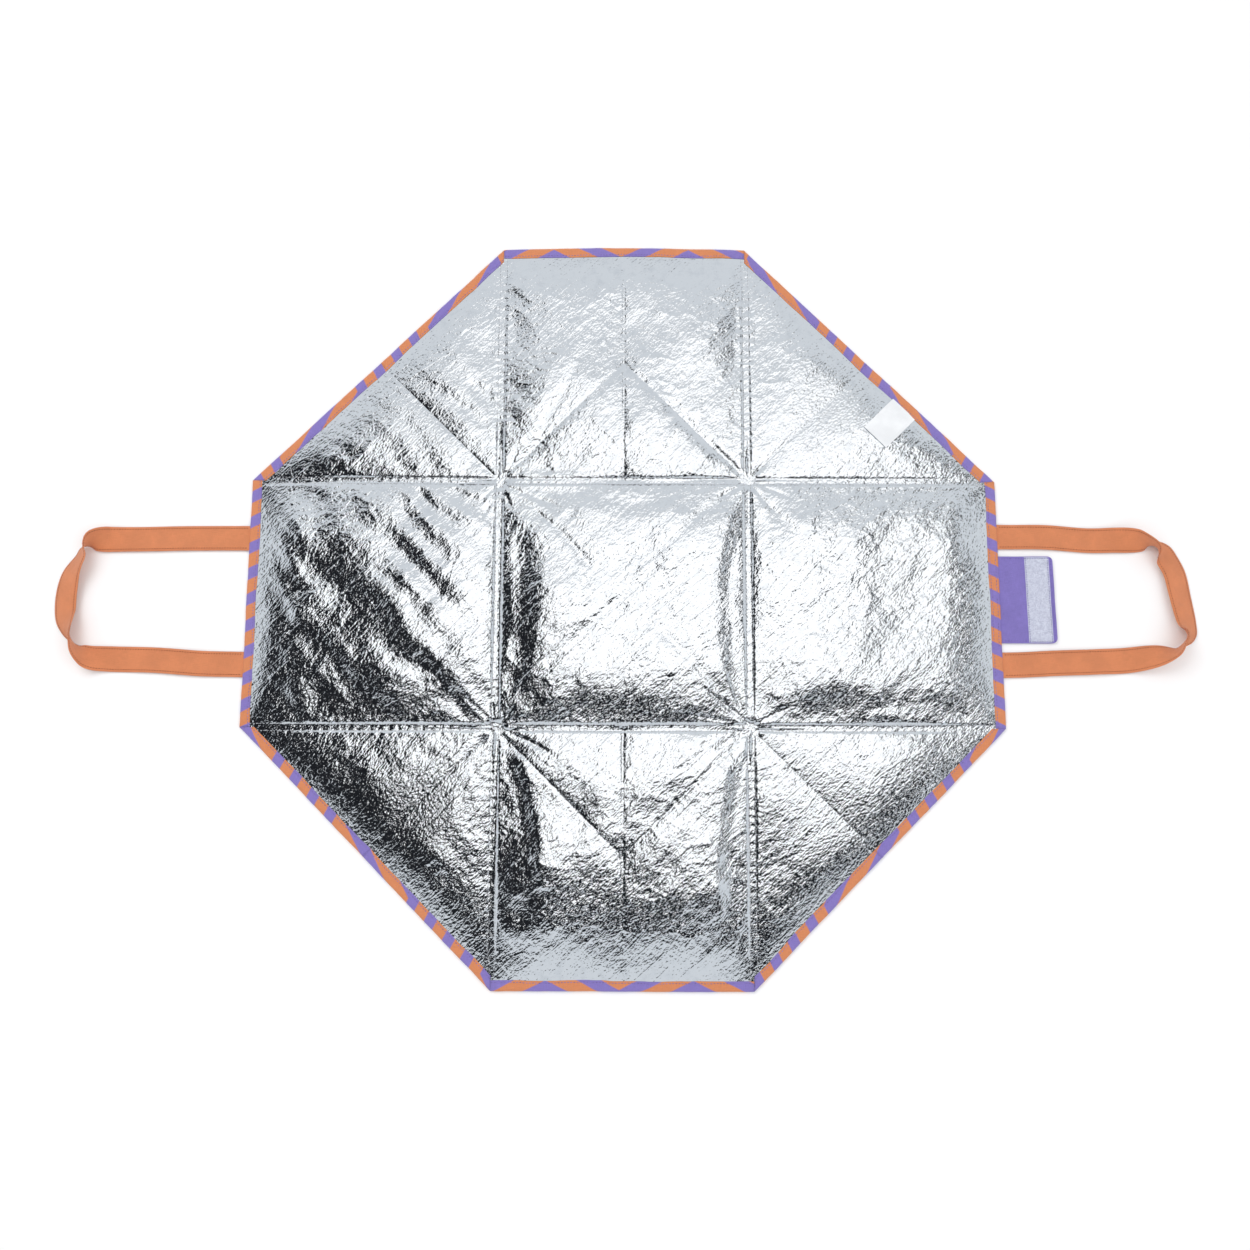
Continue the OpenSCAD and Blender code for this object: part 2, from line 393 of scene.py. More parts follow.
    def _crinkles(self, x: Array, y: Array) -> Array:
        """Sharp-edged crinkles of the film, drawn out along the slanting grain."""
        along, across = self._grain(x, y)
        warp = 1.2 * LatticeNoise(7)(x / 0.03 + 80, y / 0.03 + 80)
        long_fold = 1 - np.abs(LatticeNoise(8)(along / 0.075 + 70, across / 0.016 + 90 + warp))
        short = 1 - np.abs(LatticeNoise(9)(along / 0.0115 + 30, across / 0.0055 + 50 + warp))
        cross = 1 - np.abs(LatticeNoise(10)(across / 0.06 + 33, along / 0.020 + 77 + warp))
        dents = LatticeNoise(11)(along / 0.0054 + 11, across / 0.0038 + 19)
        return (0.20 * long_fold**14 + 0.12 * cross**14 + 0.035 * short**3 + 0.085 * dents) * MM

    def _pillow(self, distance: Array) -> Array:
        """How full the panel is at a distance from a seam, from 0 to 1."""
        share = np.clip(distance / self.pillow, 0, 1)
        return 1 - (1 - share) ** 2

    def top(self, x: Array, y: Array, gusset: bool) -> Array:
        """Height of the foil.

        Args:
            x, y: Places on the unfolded mat.
            gusset: True on a gusset, which puffs less because its halves close on each other.

        Returns:
            The height at each place.
        """
        plan = self.plan
        a, b = np.abs(x), np.abs(y)
        to_x, to_y = np.abs(a - plan.half), np.abs(b - plan.half)
        to_rim = plan.rim_distance(x, y)
        rise = self._pillow(to_x) * self._pillow(to_y)
        seam = np.minimum(to_x, to_y)
        puff = self.gusset_puff if gusset else self.puff
        level = plan.fold_z - self.seam_drop + puff * rise
        level += self.channel_lip * smooth_step(seam, self.channel - 1.0 * MM, self.channel + 1.6 * MM)
        level += 0.22 * MM * (1 - smooth_step(seam, 0.0, self.channel))
        run = np.where(to_x < to_y, y, x)
        gather = np.sin(2 * math.pi * run / 0.0088 + 2.4 * LatticeNoise(12)(run / 0.02, seam * 0))
        pucker = np.exp(-np.abs(seam - self.channel) / (3.5 * MM))
        level += 0.10 * MM * gather * pucker
        damp = 0.6 if gusset else 1.0
        level -= self._creases(x, y) * damp
        loose = smooth_step(seam, 0.0, 14 * MM)
        level += damp * loose * self._waves(x, y) * smooth_step(to_rim, 8 * MM, 45 * MM)
        for fold in self._all_folds():
            level += damp * fold.lift(x, y)
        level += (0.35 + 0.65 * loose) * self._crinkles(x, y)
        outer = self._pillow(np.maximum(to_rim - plan.hem_width + 2 * MM, 0) * 1.4)
        level = self.rim_level + (level - self.rim_level) * outer
        if gusset:
            beside = np.abs(a - b) * DIAGONAL
            limit = plan.fold_z - 0.5 * MM + 0.028 * beside
            soft = 0.45 * MM
            level = -soft * np.logaddexp(-level / soft, -limit / soft)
        return np.maximum(level, self.rim_level - 0.2 * MM)

    def cloth_bottom(self, x: Array, y: Array) -> Array:
        """Height of the outer cloth's underside, which is drawn up along seams and creases."""
        plan = self.plan
        a, b = np.abs(x), np.abs(y)
        line = np.minimum(np.abs(a - plan.half), np.abs(b - plan.half))
        corner = (a > plan.half) & (b > plan.half)
        fold = np.where(corner, np.abs(a - b) * DIAGONAL, 1.0)
        loose = 1 - 0.5 * np.exp(-fold / (4 * MM))
        for side in (a, b):
            loose = loose * (1 - np.exp(-np.abs(side - plan.half) / (4.5 * MM)))
        held = 1 - loose
        drawn = self.groove * held
        soft = 0.18 * MM * (1 + LatticeNoise(13)(x / 0.028 + 20, y / 0.028 + 20))
        pull = 0.22 * MM * np.exp(-line / (10 * MM)) * (1 + np.sin(2 * math.pi * (x + y) / 0.011))
        settled = smooth_step(plan.rim_distance(x, y), 3 * MM, 20 * MM)
        return plan.floor_z + (drawn + (soft + pull) * (1 - held)) * settled


# ---------------------------------------------------------------- meshes


@dataclass
class Grid:
    """A flat grid over a panel's drawn outline.

    Attributes:
        points: The points' places.
        faces: The faces, anticlockwise from above.
        loop: The outer points in order, anticlockwise.
    """

    points: Array
    faces: list[tuple[int, ...]]
    loop: list[int]


def square_grid(corners: Array, step: float) -> Grid:
    """A grid over a four-cornered outline, with cells about step wide."""
    sides = np.linalg.norm(np.roll(corners, -1, 0) - corners, axis=1)
    cols, rows = (max(2, round(float(s) / step)) for s in sides[:2])
    u, v = np.meshgrid(np.linspace(0, 1, cols + 1), np.linspace(0, 1, rows + 1), indexing="ij")
    weights = [(1 - u) * (1 - v), u * (1 - v), u * v, (1 - u) * v]
    points = sum(w.reshape(-1, 1) * c for w, c in zip(weights, corners))
    stride = rows + 1
    faces = [
        (i * stride + j, (i + 1) * stride + j, (i + 1) * stride + j + 1, i * stride + j + 1)
        for i in range(cols)
        for j in range(rows)
    ]
    loop = [i * stride for i in range(cols)]
    loop += [cols * stride + j for j in range(rows)]
    loop += [i * stride + rows for i in range(cols, 0, -1)]
    loop += list(range(rows, 0, -1))
    return Grid(points, faces, loop)


def triangle_grid(corners: Array, step: float) -> Grid:
    """A grid over a triangle, from its last corner towards the other two."""
    first, second, last = corners
    count = max(2, round(float(np.linalg.norm(first - last)) / step))
    index: dict[tuple[int, int], int] = {}
    points = []
    for i in range(count + 1):
        for j in range(count + 1 - i):
            index[i, j] = len(points)
            points.append(last + (first - last) * i / count + (second - last) * j / count)
    faces: list[tuple[int, ...]] = []
    for i in range(count):
        for j in range(count - i):
            if i + j < count - 1:
                faces.append((index[i, j], index[i + 1, j], index[i + 1, j + 1], index[i, j + 1]))
            else:
                faces.append((index[i, j], index[i + 1, j], index[i, j + 1]))
    loop = [index[i, 0] for i in range(count)]
    loop += [index[count - j, j] for j in range(count)]
    loop += [index[0, j] for j in range(count, 0, -1)]
    return Grid(np.array(points), faces, loop)


def panel_grid(plan: MatPlan, panel: Panel, gaps: Sequence[float], step: float) -> Grid:
    """The grid of a panel whose sides are moved in by gaps."""
    corners = inset(plan.outline(panel.kind), gaps)
    if panel.kind is PanelKind.GUSSET:
        return triangle_grid(corners, step)
    return square_grid(corners, step)


def make_piece(
    name: str,
    points: Array,
    faces: Sequence[Sequence[int]],
    uv: Array,
    materials: Sequence[bpy.types.Material],
    slots: Array | None = None,
) -> bpy.types.Object:
    """Makes a smooth mesh object at the origin.

    Args:
        name: The piece's name.
        points: The points, three numbers each, in the row frame.
        faces: The faces, anticlockwise from outside.
        uv: The place of each point on the flat cloth, in metres.
        materials: The materials in slot order.
        slots: The material slot of each face, or None for the first slot.

    Returns:
        The new object, linked to the scene.
    """
    mesh = bpy.data.meshes.new(name)
    mesh.from_pydata(np.asarray(points, float).tolist(), [], [tuple(f) for f in faces])
    layer = mesh.uv_layers.new(name=UV_NAME)
    corner = np.zeros(len(mesh.loops), np.int32)
    mesh.loops.foreach_get("vertex_index", corner)
    layer.data.foreach_set("uv", np.asarray(uv, np.float32)[corner].ravel())
    for material in materials:
        mesh.materials.append(material)
    if slots is not None:
        mesh.polygons.foreach_set("material_index", np.asarray(slots, np.int32))
    mesh.polygons.foreach_set("use_smooth", np.ones(len(mesh.polygons), bool))
    mesh.update()
    piece = bpy.data.objects.new(name, mesh)
    bpy.context.scene.collection.objects.link(piece)
    return piece


def close_slab(grid: Grid) -> tuple[list[tuple[int, ...]], list[int]]:
    """The faces of a closed slab over a grid.

    Args:
        grid: The flat grid; its points are the slab's top points, and the same again its bottom points.

    Returns:
        The faces, and the part of each face (0 top, 1 side or bottom).
    """
    count = len(grid.points)
    faces = list(grid.faces)
    parts = [0] * len(faces)
    ring = grid.loop
    faces += [tuple(count + i for i in reversed(f)) for f in grid.faces]
    low = [count + i for i in ring]
    for i in range(len(ring)):
        j = (i + 1) % len(ring)
        faces.append((ring[i], low[i], low[j], ring[j]))
    parts += [1] * (len(faces) - len(parts))
    return faces, parts


def facing(panel: Panel, faces: Sequence[Sequence[int]]) -> list[tuple[int, ...]]:
    """The faces as they wind once the panel is turned to its place."""
    return [tuple(reversed(f)) if panel.mirrored else tuple(f) for f in faces]


def mark_sharp(piece: bpy.types.Object, parts: Sequence[int]) -> None:
    """Makes the edges between faces of different parts sharp, so each part shades by itself."""
    mesh = piece.data
    edge_part: dict[int, int] = {}
    sharp = np.zeros(len(mesh.edges), bool)
    edges = np.zeros(len(mesh.loops), np.int32)
    mesh.loops.foreach_get("edge_index", edges)
    starts = np.zeros(len(mesh.polygons), np.int32)
    totals = np.zeros(len(mesh.polygons), np.int32)
    mesh.polygons.foreach_get("loop_start", starts)
    mesh.polygons.foreach_get("loop_total", totals)
    for face, part in enumerate(parts):
        for edge in edges[starts[face] : starts[face] + totals[face]].tolist():
            if edge_part.setdefault(edge, part) != part:
                sharp[edge] = True
    layer = mesh.attributes.new("sharp_edge", "BOOLEAN", "EDGE")
    layer.data.foreach_set("value", sharp)


def slab_piece(
    name: str,
    panel: Panel,
    grid: Grid,
    top: Callable[[Array, Array], Array],
    bottom: Callable[[Array, Array], Array],
    materials: Sequence[bpy.types.Material],
) -> bpy.types.Object:
    """Makes a closed slab between two height functions.

    Args:
        name: The piece's name.
        panel: The panel whose turn places the grid.
        grid: The grid in the panel's drawn place.
        top, bottom: Heights over the unfolded mat.
        materials: One material, or one for the top and one for the rest.

    Returns:
        The new piece.
    """
    faces, parts = close_slab(grid)
    flat = panel.placed(grid.points)
    heights = (top(flat[:, 0], flat[:, 1]), bottom(flat[:, 0], flat[:, 1]))
    points = np.vstack([np.column_stack([flat, height]) for height in heights])
    slots = np.array(parts) if len(materials) > 1 else None
    piece = make_piece(name, points, facing(panel, faces), points[:, :2], materials, slots)
    mark_sharp(piece, parts)
    return piece


def swept_piece(
    name: str,
    rings: Array,
    uv: Array,
    material: bpy.types.Material,
) -> bpy.types.Object:
    """Makes a closed solid from rings of points, with its ends capped.

    Args:
        name: The piece's name.
        rings: Rings x points x 3; each ring runs anticlockwise seen against the sweep.
        uv: Rings x points x 2, the place on the flat cloth.
        material: The cloth.

    Returns:
        The new piece.
    """
    count, around = rings.shape[:2]
    faces: list[tuple[int, ...]] = []
    for i in range(count - 1):
        for j in range(around):
            k = (j + 1) % around
            faces.append((i * around + j, i * around + k, (i + 1) * around + k, (i + 1) * around + j))
    faces.append(tuple(reversed(range(around))))
    faces.append(tuple(range((count - 1) * around, count * around)))
    return make_piece(name, rings.reshape(-1, 3), faces, uv.reshape(-1, 2), [material])


def smooth_path(stations: Array, step: float) -> Array:
    """A Catmull-Rom curve through rows of numbers, evenly spaced by its first three.

    Args:
        stations: One row for each station, its first three numbers a place.
        step: The spacing along the curve.

    Returns:
        The rows along the curve.
    """
    ends = np.vstack([2 * stations[0] - stations[1], stations, 2 * stations[-1] - stations[-2]])
    fine = []
    for i in range(1, len(ends) - 2):
        p, q, r, s = ends[i - 1], ends[i], ends[i + 1], ends[i + 2]
        for t in np.linspace(0, 1, 24, endpoint=False):
            fine.append(
                0.5
                * (2 * q + (r - p) * t + (2 * p - 5 * q + 4 * r - s) * t**2 + (3 * q - p - 3 * r + s) * t**3)
            )
    fine.append(stations[-1])
    rows = np.array(fine)
    run = np.concatenate([[0], np.cumsum(np.linalg.norm(np.diff(rows[:, :3], axis=0), axis=1))])
    wanted = np.linspace(0, run[-1], max(4, round(run[-1] / step)) + 1)
    return np.column_stack([np.interp(wanted, run, rows[:, k]) for k in range(rows.shape[1])])


# ---------------------------------------------------------------- node graphs


Socket = bpy.types.NodeSocket
Value = Socket | float | int | Sequence[float]


class Graph:
    """Short ways to add and join nodes in one tree."""

    def __init__(self, tree: bpy.types.NodeTree) -> None:
        """Starts on a tree."""
        self.tree = tree

    def node(self, kind: str, **settings: object) -> bpy.types.Node:
        """Adds a node and sets its own settings."""
        made = self.tree.nodes.new(kind)
        for key, value in settings.items():
            setattr(made, key, value)
        return made

    def plug(self, socket: Socket, value: Value) -> None:
        """Joins a socket to another, or sets its value."""
        if isinstance(value, bpy.types.NodeSocket):
            self.tree.links.new(value, socket)
        else:
            socket.default_value = value

    def math(self, operation: str, *values: Value, clamp: bool = False) -> Socket:
        """A Math node's result."""
        made = self.node("ShaderNodeMath", operation=operation, use_clamp=clamp)
        for socket, value in zip(made.inputs, values):
            self.plug(socket, value)
        return made.outputs[0]

    def span(self, value: Value, low: float, high: float, start: float = 0.0, end: float = 1.0) -> Socket:
        """Maps low..high smoothly to start..end."""
        made = self.node("ShaderNodeMapRange", interpolation_type="SMOOTHSTEP")
        for socket, number in zip(made.inputs, (value, low, high, start, end)):
            self.plug(socket, number)
        return made.outputs[0]

    def noise(self, vector: Value, scale: float, detail: float = 2.0, rough: float = 0.5) -> Socket:
        """A noise texture's value, from 0 to 1."""
        made = self.node("ShaderNodeTexNoise")
        self.plug(made.inputs["Vector"], vector)
        made.inputs["Scale"].default_value = scale
        made.inputs["Detail"].default_value = detail
        made.inputs["Roughness"].default_value = rough
        return made.outputs[0]

    def mapped(self, vector: Value, turn: float, scale: Sequence[float]) -> Socket:
        """A vector turned about Z and then scaled."""
        turned = self.node("ShaderNodeVectorRotate", rotation_type="Z_AXIS")
        self.plug(turned.inputs["Vector"], vector)
        turned.inputs["Angle"].default_value = turn
        scaled = self.node("ShaderNodeVectorMath", operation="MULTIPLY")
        self.plug(scaled.inputs[0], turned.outputs[0])
        scaled.inputs[1].default_value = scale
        return scaled.outputs[0]

    def tint(self, factor: Value, first: Value, second: Value, blend: str = "MIX") -> Socket:
        """Two colours mixed by a factor."""
        made = self.node("ShaderNodeMix", data_type="RGBA", blend_type=blend)
        self.plug(made.inputs[0], factor)
        self.plug(made.inputs[6], first)
        self.plug(made.inputs[7], second)
        return made.outputs[2]

    def place(self, tree: bpy.types.NodeTree, **values: Value) -> bpy.types.Node:
        """Places a node group; an input's name has _ for each blank."""
        made = self.node("ShaderNodeGroup", node_tree=tree)
        for key, value in values.items():
            self.plug(made.inputs[key.replace("_", " ")], value)
        return made


def rgba(colour: Colour) -> tuple[float, float, float, float]:
    """A colour with full alpha."""
    return (*colour, 1.0)


def new_group(name: str, inputs: dict[str, tuple[str, object]], outputs: dict[str, str]) -> Graph:
    """Makes an empty shader node group with named sockets.

    Args:
        name: The group's name.
        inputs: Socket types and starting values by name.
        outputs: Socket types by name.

    Returns:
        The graph of the group, its ends named "in" and "out".
    """
    tree = bpy.data.node_groups.new(name, "ShaderNodeTree")
    for key, (kind, value) in inputs.items():
        made = tree.interface.new_socket(key, in_out="INPUT", socket_type=kind)
        if value is not None:
            made.default_value = value
    for key, kind in outputs.items():
        tree.interface.new_socket(key, in_out="OUTPUT", socket_type=kind)
    graph = Graph(tree)
    graph.node("NodeGroupInput", name="in")
    graph.node("NodeGroupOutput", name="out")
    return graph


class Effects:
    """The shader node groups that several finishes share."""

    def __init__(self) -> None:
        """Builds every group once."""
        self.stripes = self._stripes()
        self.weave = self._weave()
        self.crinkle = self._crinkle()
        self.pile = self._pile()

    @staticmethod
    def _stripes() -> bpy.types.NodeTree:
        """Zigzag stripes: Vector in metres to a mask of the second colour."""
        graph = new_group(
            "zigzag_stripes",
            {
                "Vector": ("NodeSocketVector", None),
                "Repeat": ("NodeSocketFloat", 0.0265),
                "Zigzag": ("NodeSocketFloat", 0.070),
                "Slope": ("NodeSocketFloat", 0.51),
                "Share": ("NodeSocketFloat", 0.54),
            },
            {"Mask": "NodeSocketFloat"},
        )
        tree = graph.tree
        given, out = tree.nodes["in"].outputs, tree.nodes["out"].inputs
        split = graph.node("ShaderNodeSeparateXYZ")
        graph.plug(split.inputs[0], given["Vector"])
        wobble = graph.noise(given["Vector"], 55.0, 2.0)
        side = graph.math("ADD", split.outputs[0], 0.003)
        run = graph.math("PINGPONG", side, given["Zigzag"])
        slant = graph.math("MULTIPLY_ADD", run, given["Slope"], split.outputs[1])
        slant = graph.math("ADD", slant, -0.0036)
        slant = graph.math("MULTIPLY_ADD", graph.math("SUBTRACT", wobble, 0.5), 0.0012, slant)
        turns = graph.math("DIVIDE", slant, given["Repeat"])
        turns = graph.math("SUBTRACT", turns, graph.math("MULTIPLY", given["Share"], 0.5))
        distance = graph.math("PINGPONG", turns, 0.5)
        edge = graph.math("MULTIPLY", given["Share"], 0.5)
        inside = graph.math("SUBTRACT", edge, distance)
        graph.plug(out["Mask"], graph.math("MULTIPLY_ADD", inside, 34.0, 0.5, clamp=True))
        return tree

    @staticmethod
    def _weave() -> bpy.types.NodeTree:
        """A plain weave with slubs: Vector in metres to a height, and a Shade of real slub tone plus painted
        shade that lightens raised thread crossings and darkens sunken ones.
        """
        graph = new_group(
            "plain_weave",
            {
                "Vector": ("NodeSocketVector", None),
                "Warp": ("NodeSocketFloat", 0.0006),
                "Weft": ("NodeSocketFloat", 0.0006),
                "Relief": ("NodeSocketFloat", 0.00008),
                "Slubs": ("NodeSocketFloat", 0.35),
            },
            {"Height": "NodeSocketFloat", "Shade": "NodeSocketFloat"},
        )
        tree = graph.tree
        given, out = tree.nodes["in"].outputs, tree.nodes["out"].inputs
        split = graph.node("ShaderNodeSeparateXYZ")
        graph.plug(split.inputs[0], given["Vector"])
        waves = []
        for axis, name in ((0, "Warp"), (1, "Weft")):
            turns = graph.math("DIVIDE", split.outputs[axis], given[name])
            waves.append(graph.math("SINE", graph.math("MULTIPLY", turns, 2 * math.pi)))
        over = graph.math("MULTIPLY", waves[0], waves[1])
        ribs = graph.math("ADD", graph.math("ABSOLUTE", waves[0]), graph.math("ABSOLUTE", waves[1]))
        height = graph.math("MULTIPLY_ADD", ribs, 0.5, over)
        graph.plug(out["Height"], graph.math("MULTIPLY", height, given["Relief"]))
        long_way = graph.noise(graph.mapped(given["Vector"], 0.0, (2400.0, 150.0, 1.0)), 1.0, 1.0)
        cross_way = graph.noise(graph.mapped(given["Vector"], 0.0, (150.0, 2400.0, 1.0)), 1.0, 1.0)
        slubs = graph.math("SUBTRACT", graph.math("ADD", long_way, cross_way), 1.0)
        shade = graph.math("MULTIPLY_ADD", slubs, given["Slubs"], 0.5)
        # Shade: the slub tone is real; the crossing term is painted shade, lighter where the threads rise and
        # darker where they sink.
        graph.plug(out["Shade"], graph.math("MULTIPLY_ADD", over, 0.12, shade, clamp=True))
        return tree

    @staticmethod
    def _crinkle() -> bpy.types.NodeTree:
        """Crinkled film: Vector in metres to a height in metres."""
        graph = new_group(
            "crinkled_film",
            {
                "Vector": ("NodeSocketVector", None),
                "Grain": ("NodeSocketFloat", math.radians(-47)),
                "Dents": ("NodeSocketFloat", 0.000235),
                "Facets": ("NodeSocketFloat", 0.000045),
                "Creases": ("NodeSocketFloat", 0.00007),
            },
            {"Height": "NodeSocketFloat", "Rub": "NodeSocketFloat"},
        )
        tree = graph.tree
        given, out = tree.nodes["in"].outputs, tree.nodes["out"].inputs
        turned = graph.node("ShaderNodeVectorRotate", rotation_type="Z_AXIS")
        graph.plug(turned.inputs["Vector"], given["Vector"])
        graph.plug(turned.inputs["Angle"], given["Grain"])
        grain = turned.outputs[0]
        dents = graph.noise(graph.mapped(grain, 0.0, (310.0, 520.0, 1.0)), 1.0, 1.2, 0.5)
        cells = graph.node("ShaderNodeTexVoronoi", feature="F1", voronoi_dimensions="2D")
        graph.plug(cells.inputs["Vector"], graph.mapped(grain, 0.2, (160.0, 240.0, 1.0)))
        cells.inputs["Scale"].default_value = 1.0
        creases = graph.noise(graph.mapped(grain, 0.05, (12.0, 75.0, 1.0)), 1.0, 1.0)
        ridge = graph.math("ABSOLUTE", graph.math("MULTIPLY_ADD", creases, 2.0, -1.0))
        ridge = graph.math("POWER", graph.math("SUBTRACT", 1.0, ridge), 16.0)
        height = graph.math("MULTIPLY", dents, given["Dents"])
        height = graph.math("MULTIPLY_ADD", cells.outputs["Distance"], given["Facets"], height)
        height = graph.math("MULTIPLY_ADD", ridge, given["Creases"], height)
        graph.plug(out["Height"], height)
        graph.plug(out["Rub"], graph.noise(given["Vector"], 90.0, 4.0, 0.6))
        return tree

    @staticmethod
    def _pile() -> bpy.types.NodeTree:
        """The short pile of fastening tape: Vector in metres to a height and a Shade that follows it, painted
        shade that darkens the low pile.
        """
        graph = new_group(
            "tape_pile",
            {"Vector": ("NodeSocketVector", None), "Tufts": ("NodeSocketFloat", 900.0)},
            {"Height": "NodeSocketFloat", "Shade": "NodeSocketFloat"},
        )
        tree = graph.tree
        given, out = tree.nodes["in"].outputs, tree.nodes["out"].inputs
        fine = graph.node("ShaderNodeTexNoise")
        graph.plug(fine.inputs["Vector"], given["Vector"])
        graph.plug(fine.inputs["Scale"], given["Tufts"])
        fine.inputs["Detail"].default_value = 3.0
        clumps = graph.noise(given["Vector"], 260.0, 3.0, 0.6)
        both = graph.math("MULTIPLY_ADD", clumps, 0.8, fine.outputs[0])
        graph.plug(out["Height"], graph.math("MULTIPLY", both, 0.0007))
        # Painted shade: Shade follows the pile's height, so the low pile between tufts comes out darker.
        graph.plug(out["Shade"], graph.span(both, 0.6, 1.2))
        return tree


# ---------------------------------------------------------------- finishes


def new_material(name: str) -> tuple[bpy.types.Material, Graph, bpy.types.Node, Socket]:
    """A new material, its graph, its surface shader and its flat-cloth coordinates."""
    material = bpy.data.materials.new(name)
    material.use_nodes = True
    graph = Graph(material.node_tree)
    shader = material.node_tree.nodes["Principled BSDF"]
    place = graph.node("ShaderNodeUVMap", uv_map=UV_NAME)
    return material, graph, shader, place.outputs[0]


def add_bump(graph: Graph, shader: bpy.types.Node, height: Socket, strength: float = 1.0) -> None:
    """Feeds a height in metres to the shader's normal."""
    bump = graph.node("ShaderNodeBump")
    bump.inputs["Distance"].default_value = 1.0
    bump.inputs["Strength"].default_value = strength
    graph.plug(bump.inputs["Height"], height)
    graph.plug(shader.inputs["Normal"], bump.outputs[0])


@dataclass(frozen=True)
class FoilFinish:
    """Crinkled metallised film with a faint blue cast."""

    colour: Colour = (0.90, 0.925, 0.955)
    rubbed: Colour = (0.80, 0.83, 0.87)
    sharp: float = 0.03
    dull: float = 0.085

    def material(self, effects: Effects) -> bpy.types.Material:
        """Builds the material."""
        material, graph, shader, place = new_material("foil_lining")
        film = graph.place(effects.crinkle, Vector=place)
        rub = graph.span(film.outputs["Rub"], 0.45, 0.8)
        graph.plug(shader.inputs["Base Color"], graph.tint(rub, rgba(self.colour), rgba(self.rubbed)))
        gloss = graph.span(film.outputs["Rub"], 0.3, 0.8, self.sharp, self.dull)
        graph.plug(shader.inputs["Roughness"], gloss)
        shader.inputs["Metallic"].default_value = 1.0
        add_bump(graph, shader, film.outputs["Height"])
        return material


@dataclass(frozen=True)
class FoamFinish:
    """Closed-cell foam, seen only at open edges."""

    colour: Colour = (0.78, 0.78, 0.80)

    def material(self) -> bpy.types.Material:
        """Builds the material."""
        material, graph, shader, place = new_material("foam")
        cells = graph.noise(place, 1400.0, 2.0)
        # Painted shade: the cell noise that sets the bump also darkens the colour in the cell hollows.
        shade = graph.span(cells, 0.3, 0.7)
        dark = tuple(0.8 * c for c in self.colour)
        graph.plug(shader.inputs["Base Color"], graph.tint(shade, rgba(dark), rgba(self.colour)))
        shader.inputs["Roughness"].default_value = 0.9
        add_bump(graph, shader, graph.math("MULTIPLY", cells, 0.0003))
        return material


@dataclass(frozen=True)
class StripedFinish:
    """Thin woven cloth with printed zigzag stripes.

    Attributes:
        name: The material's name.
        first, second: The two stripe colours.
        relief: Height of the threads.
    """

    name: str
    first: Colour = (0.245, 0.190, 0.545)
    second: Colour = (0.715, 0.255, 0.105)
    relief: float = 0.00007
    roughness: float = 0.62

    def material(self, effects: Effects) -> bpy.types.Material:
        """Builds the material."""
        material, graph, shader, place = new_material(self.name)
        stripes = graph.place(effects.stripes, Vector=place)
        weave = graph.place(effects.weave, Vector=place, Relief=self.relief)
        colour = graph.tint(stripes.outputs["Mask"], rgba(self.first), rgba(self.second))
        # Colour scaled by the weave's Shade: real slub tone plus painted shade, lighter on raised thread
        # crossings and darker on sunken ones.
        shade = graph.span(weave.outputs["Shade"], 0.2, 0.8, 0.80, 1.16)
        toned = graph.node("ShaderNodeVectorMath", operation="SCALE")
        graph.plug(toned.inputs[0], colour)
        graph.plug(toned.inputs[3], shade)
        graph.plug(shader.inputs["Base Color"], toned.outputs[0])
        worn = graph.noise(place, 60.0, 3.0)
        gloss = graph.span(worn, 0.3, 0.7, self.roughness - 0.08, self.roughness + 0.1)
        graph.plug(shader.inputs["Roughness"], gloss)
        shader.inputs["Sheen Weight"].default_value = 0.15
        folds = graph.math("MULTIPLY_ADD", graph.noise(place, 130.0, 2.0), 0.0006, weave.outputs["Height"])
        add_bump(graph, shader, folds)
        return material


@dataclass(frozen=True)
class WovenFinish:
    """One-coloured woven cloth or webbing.

    Attributes:
        name: The material's name.
        colour: The threads' colour.
        warp, weft: Thread spacings across and along.
        relief: Height of the threads.
        contrast: How much the threads differ in shade.
        sheen: Weight of the soft sheen.
        creases: Height of small soft creases.
    """

    name: str
    colour: Colour
    warp: float
    weft: float
    relief: float
    contrast: float = 0.25
    roughness: float = 0.65
    sheen: float = 0.15
    creases: float = 0.0005

    def material(self, effects: Effects) -> bpy.types.Material:
        """Builds the material."""
        material, graph, shader, place = new_material(self.name)
        weave = graph.place(effects.weave, Vector=place, Warp=self.warp, Weft=self.weft, Relief=self.relief)
        low, high = 1 - self.contrast, 1 + 0.6 * self.contrast
        # Colour scaled by the weave's Shade: real slub tone plus painted shade, lighter on raised thread
        # crossings and darker on sunken ones; the patches are real tone.
        shade = graph.span(weave.outputs["Shade"], 0.2, 0.8, low, high)
        patches = graph.span(graph.noise(place, 45.0, 3.0), 0.3, 0.7, 0.94, 1.05)
        toned = graph.node("ShaderNodeVectorMath", operation="SCALE")
        toned.inputs[0].default_value = self.colour
        graph.plug(toned.inputs[3], graph.math("MULTIPLY", shade, patches))
        graph.plug(shader.inputs["Base Color"], toned.outputs[0])
        rough = graph.span(weave.outputs["Shade"], 0.2, 0.8, self.roughness + 0.08, self.roughness - 0.06)
        graph.plug(shader.inputs["Roughness"], rough)
        shader.inputs["Sheen Weight"].default_value = self.sheen
        soft = graph.noise(place, 110.0, 2.0)
        add_bump(graph, shader, graph.math("MULTIPLY_ADD", soft, self.creases, weave.outputs["Height"]))
        return material


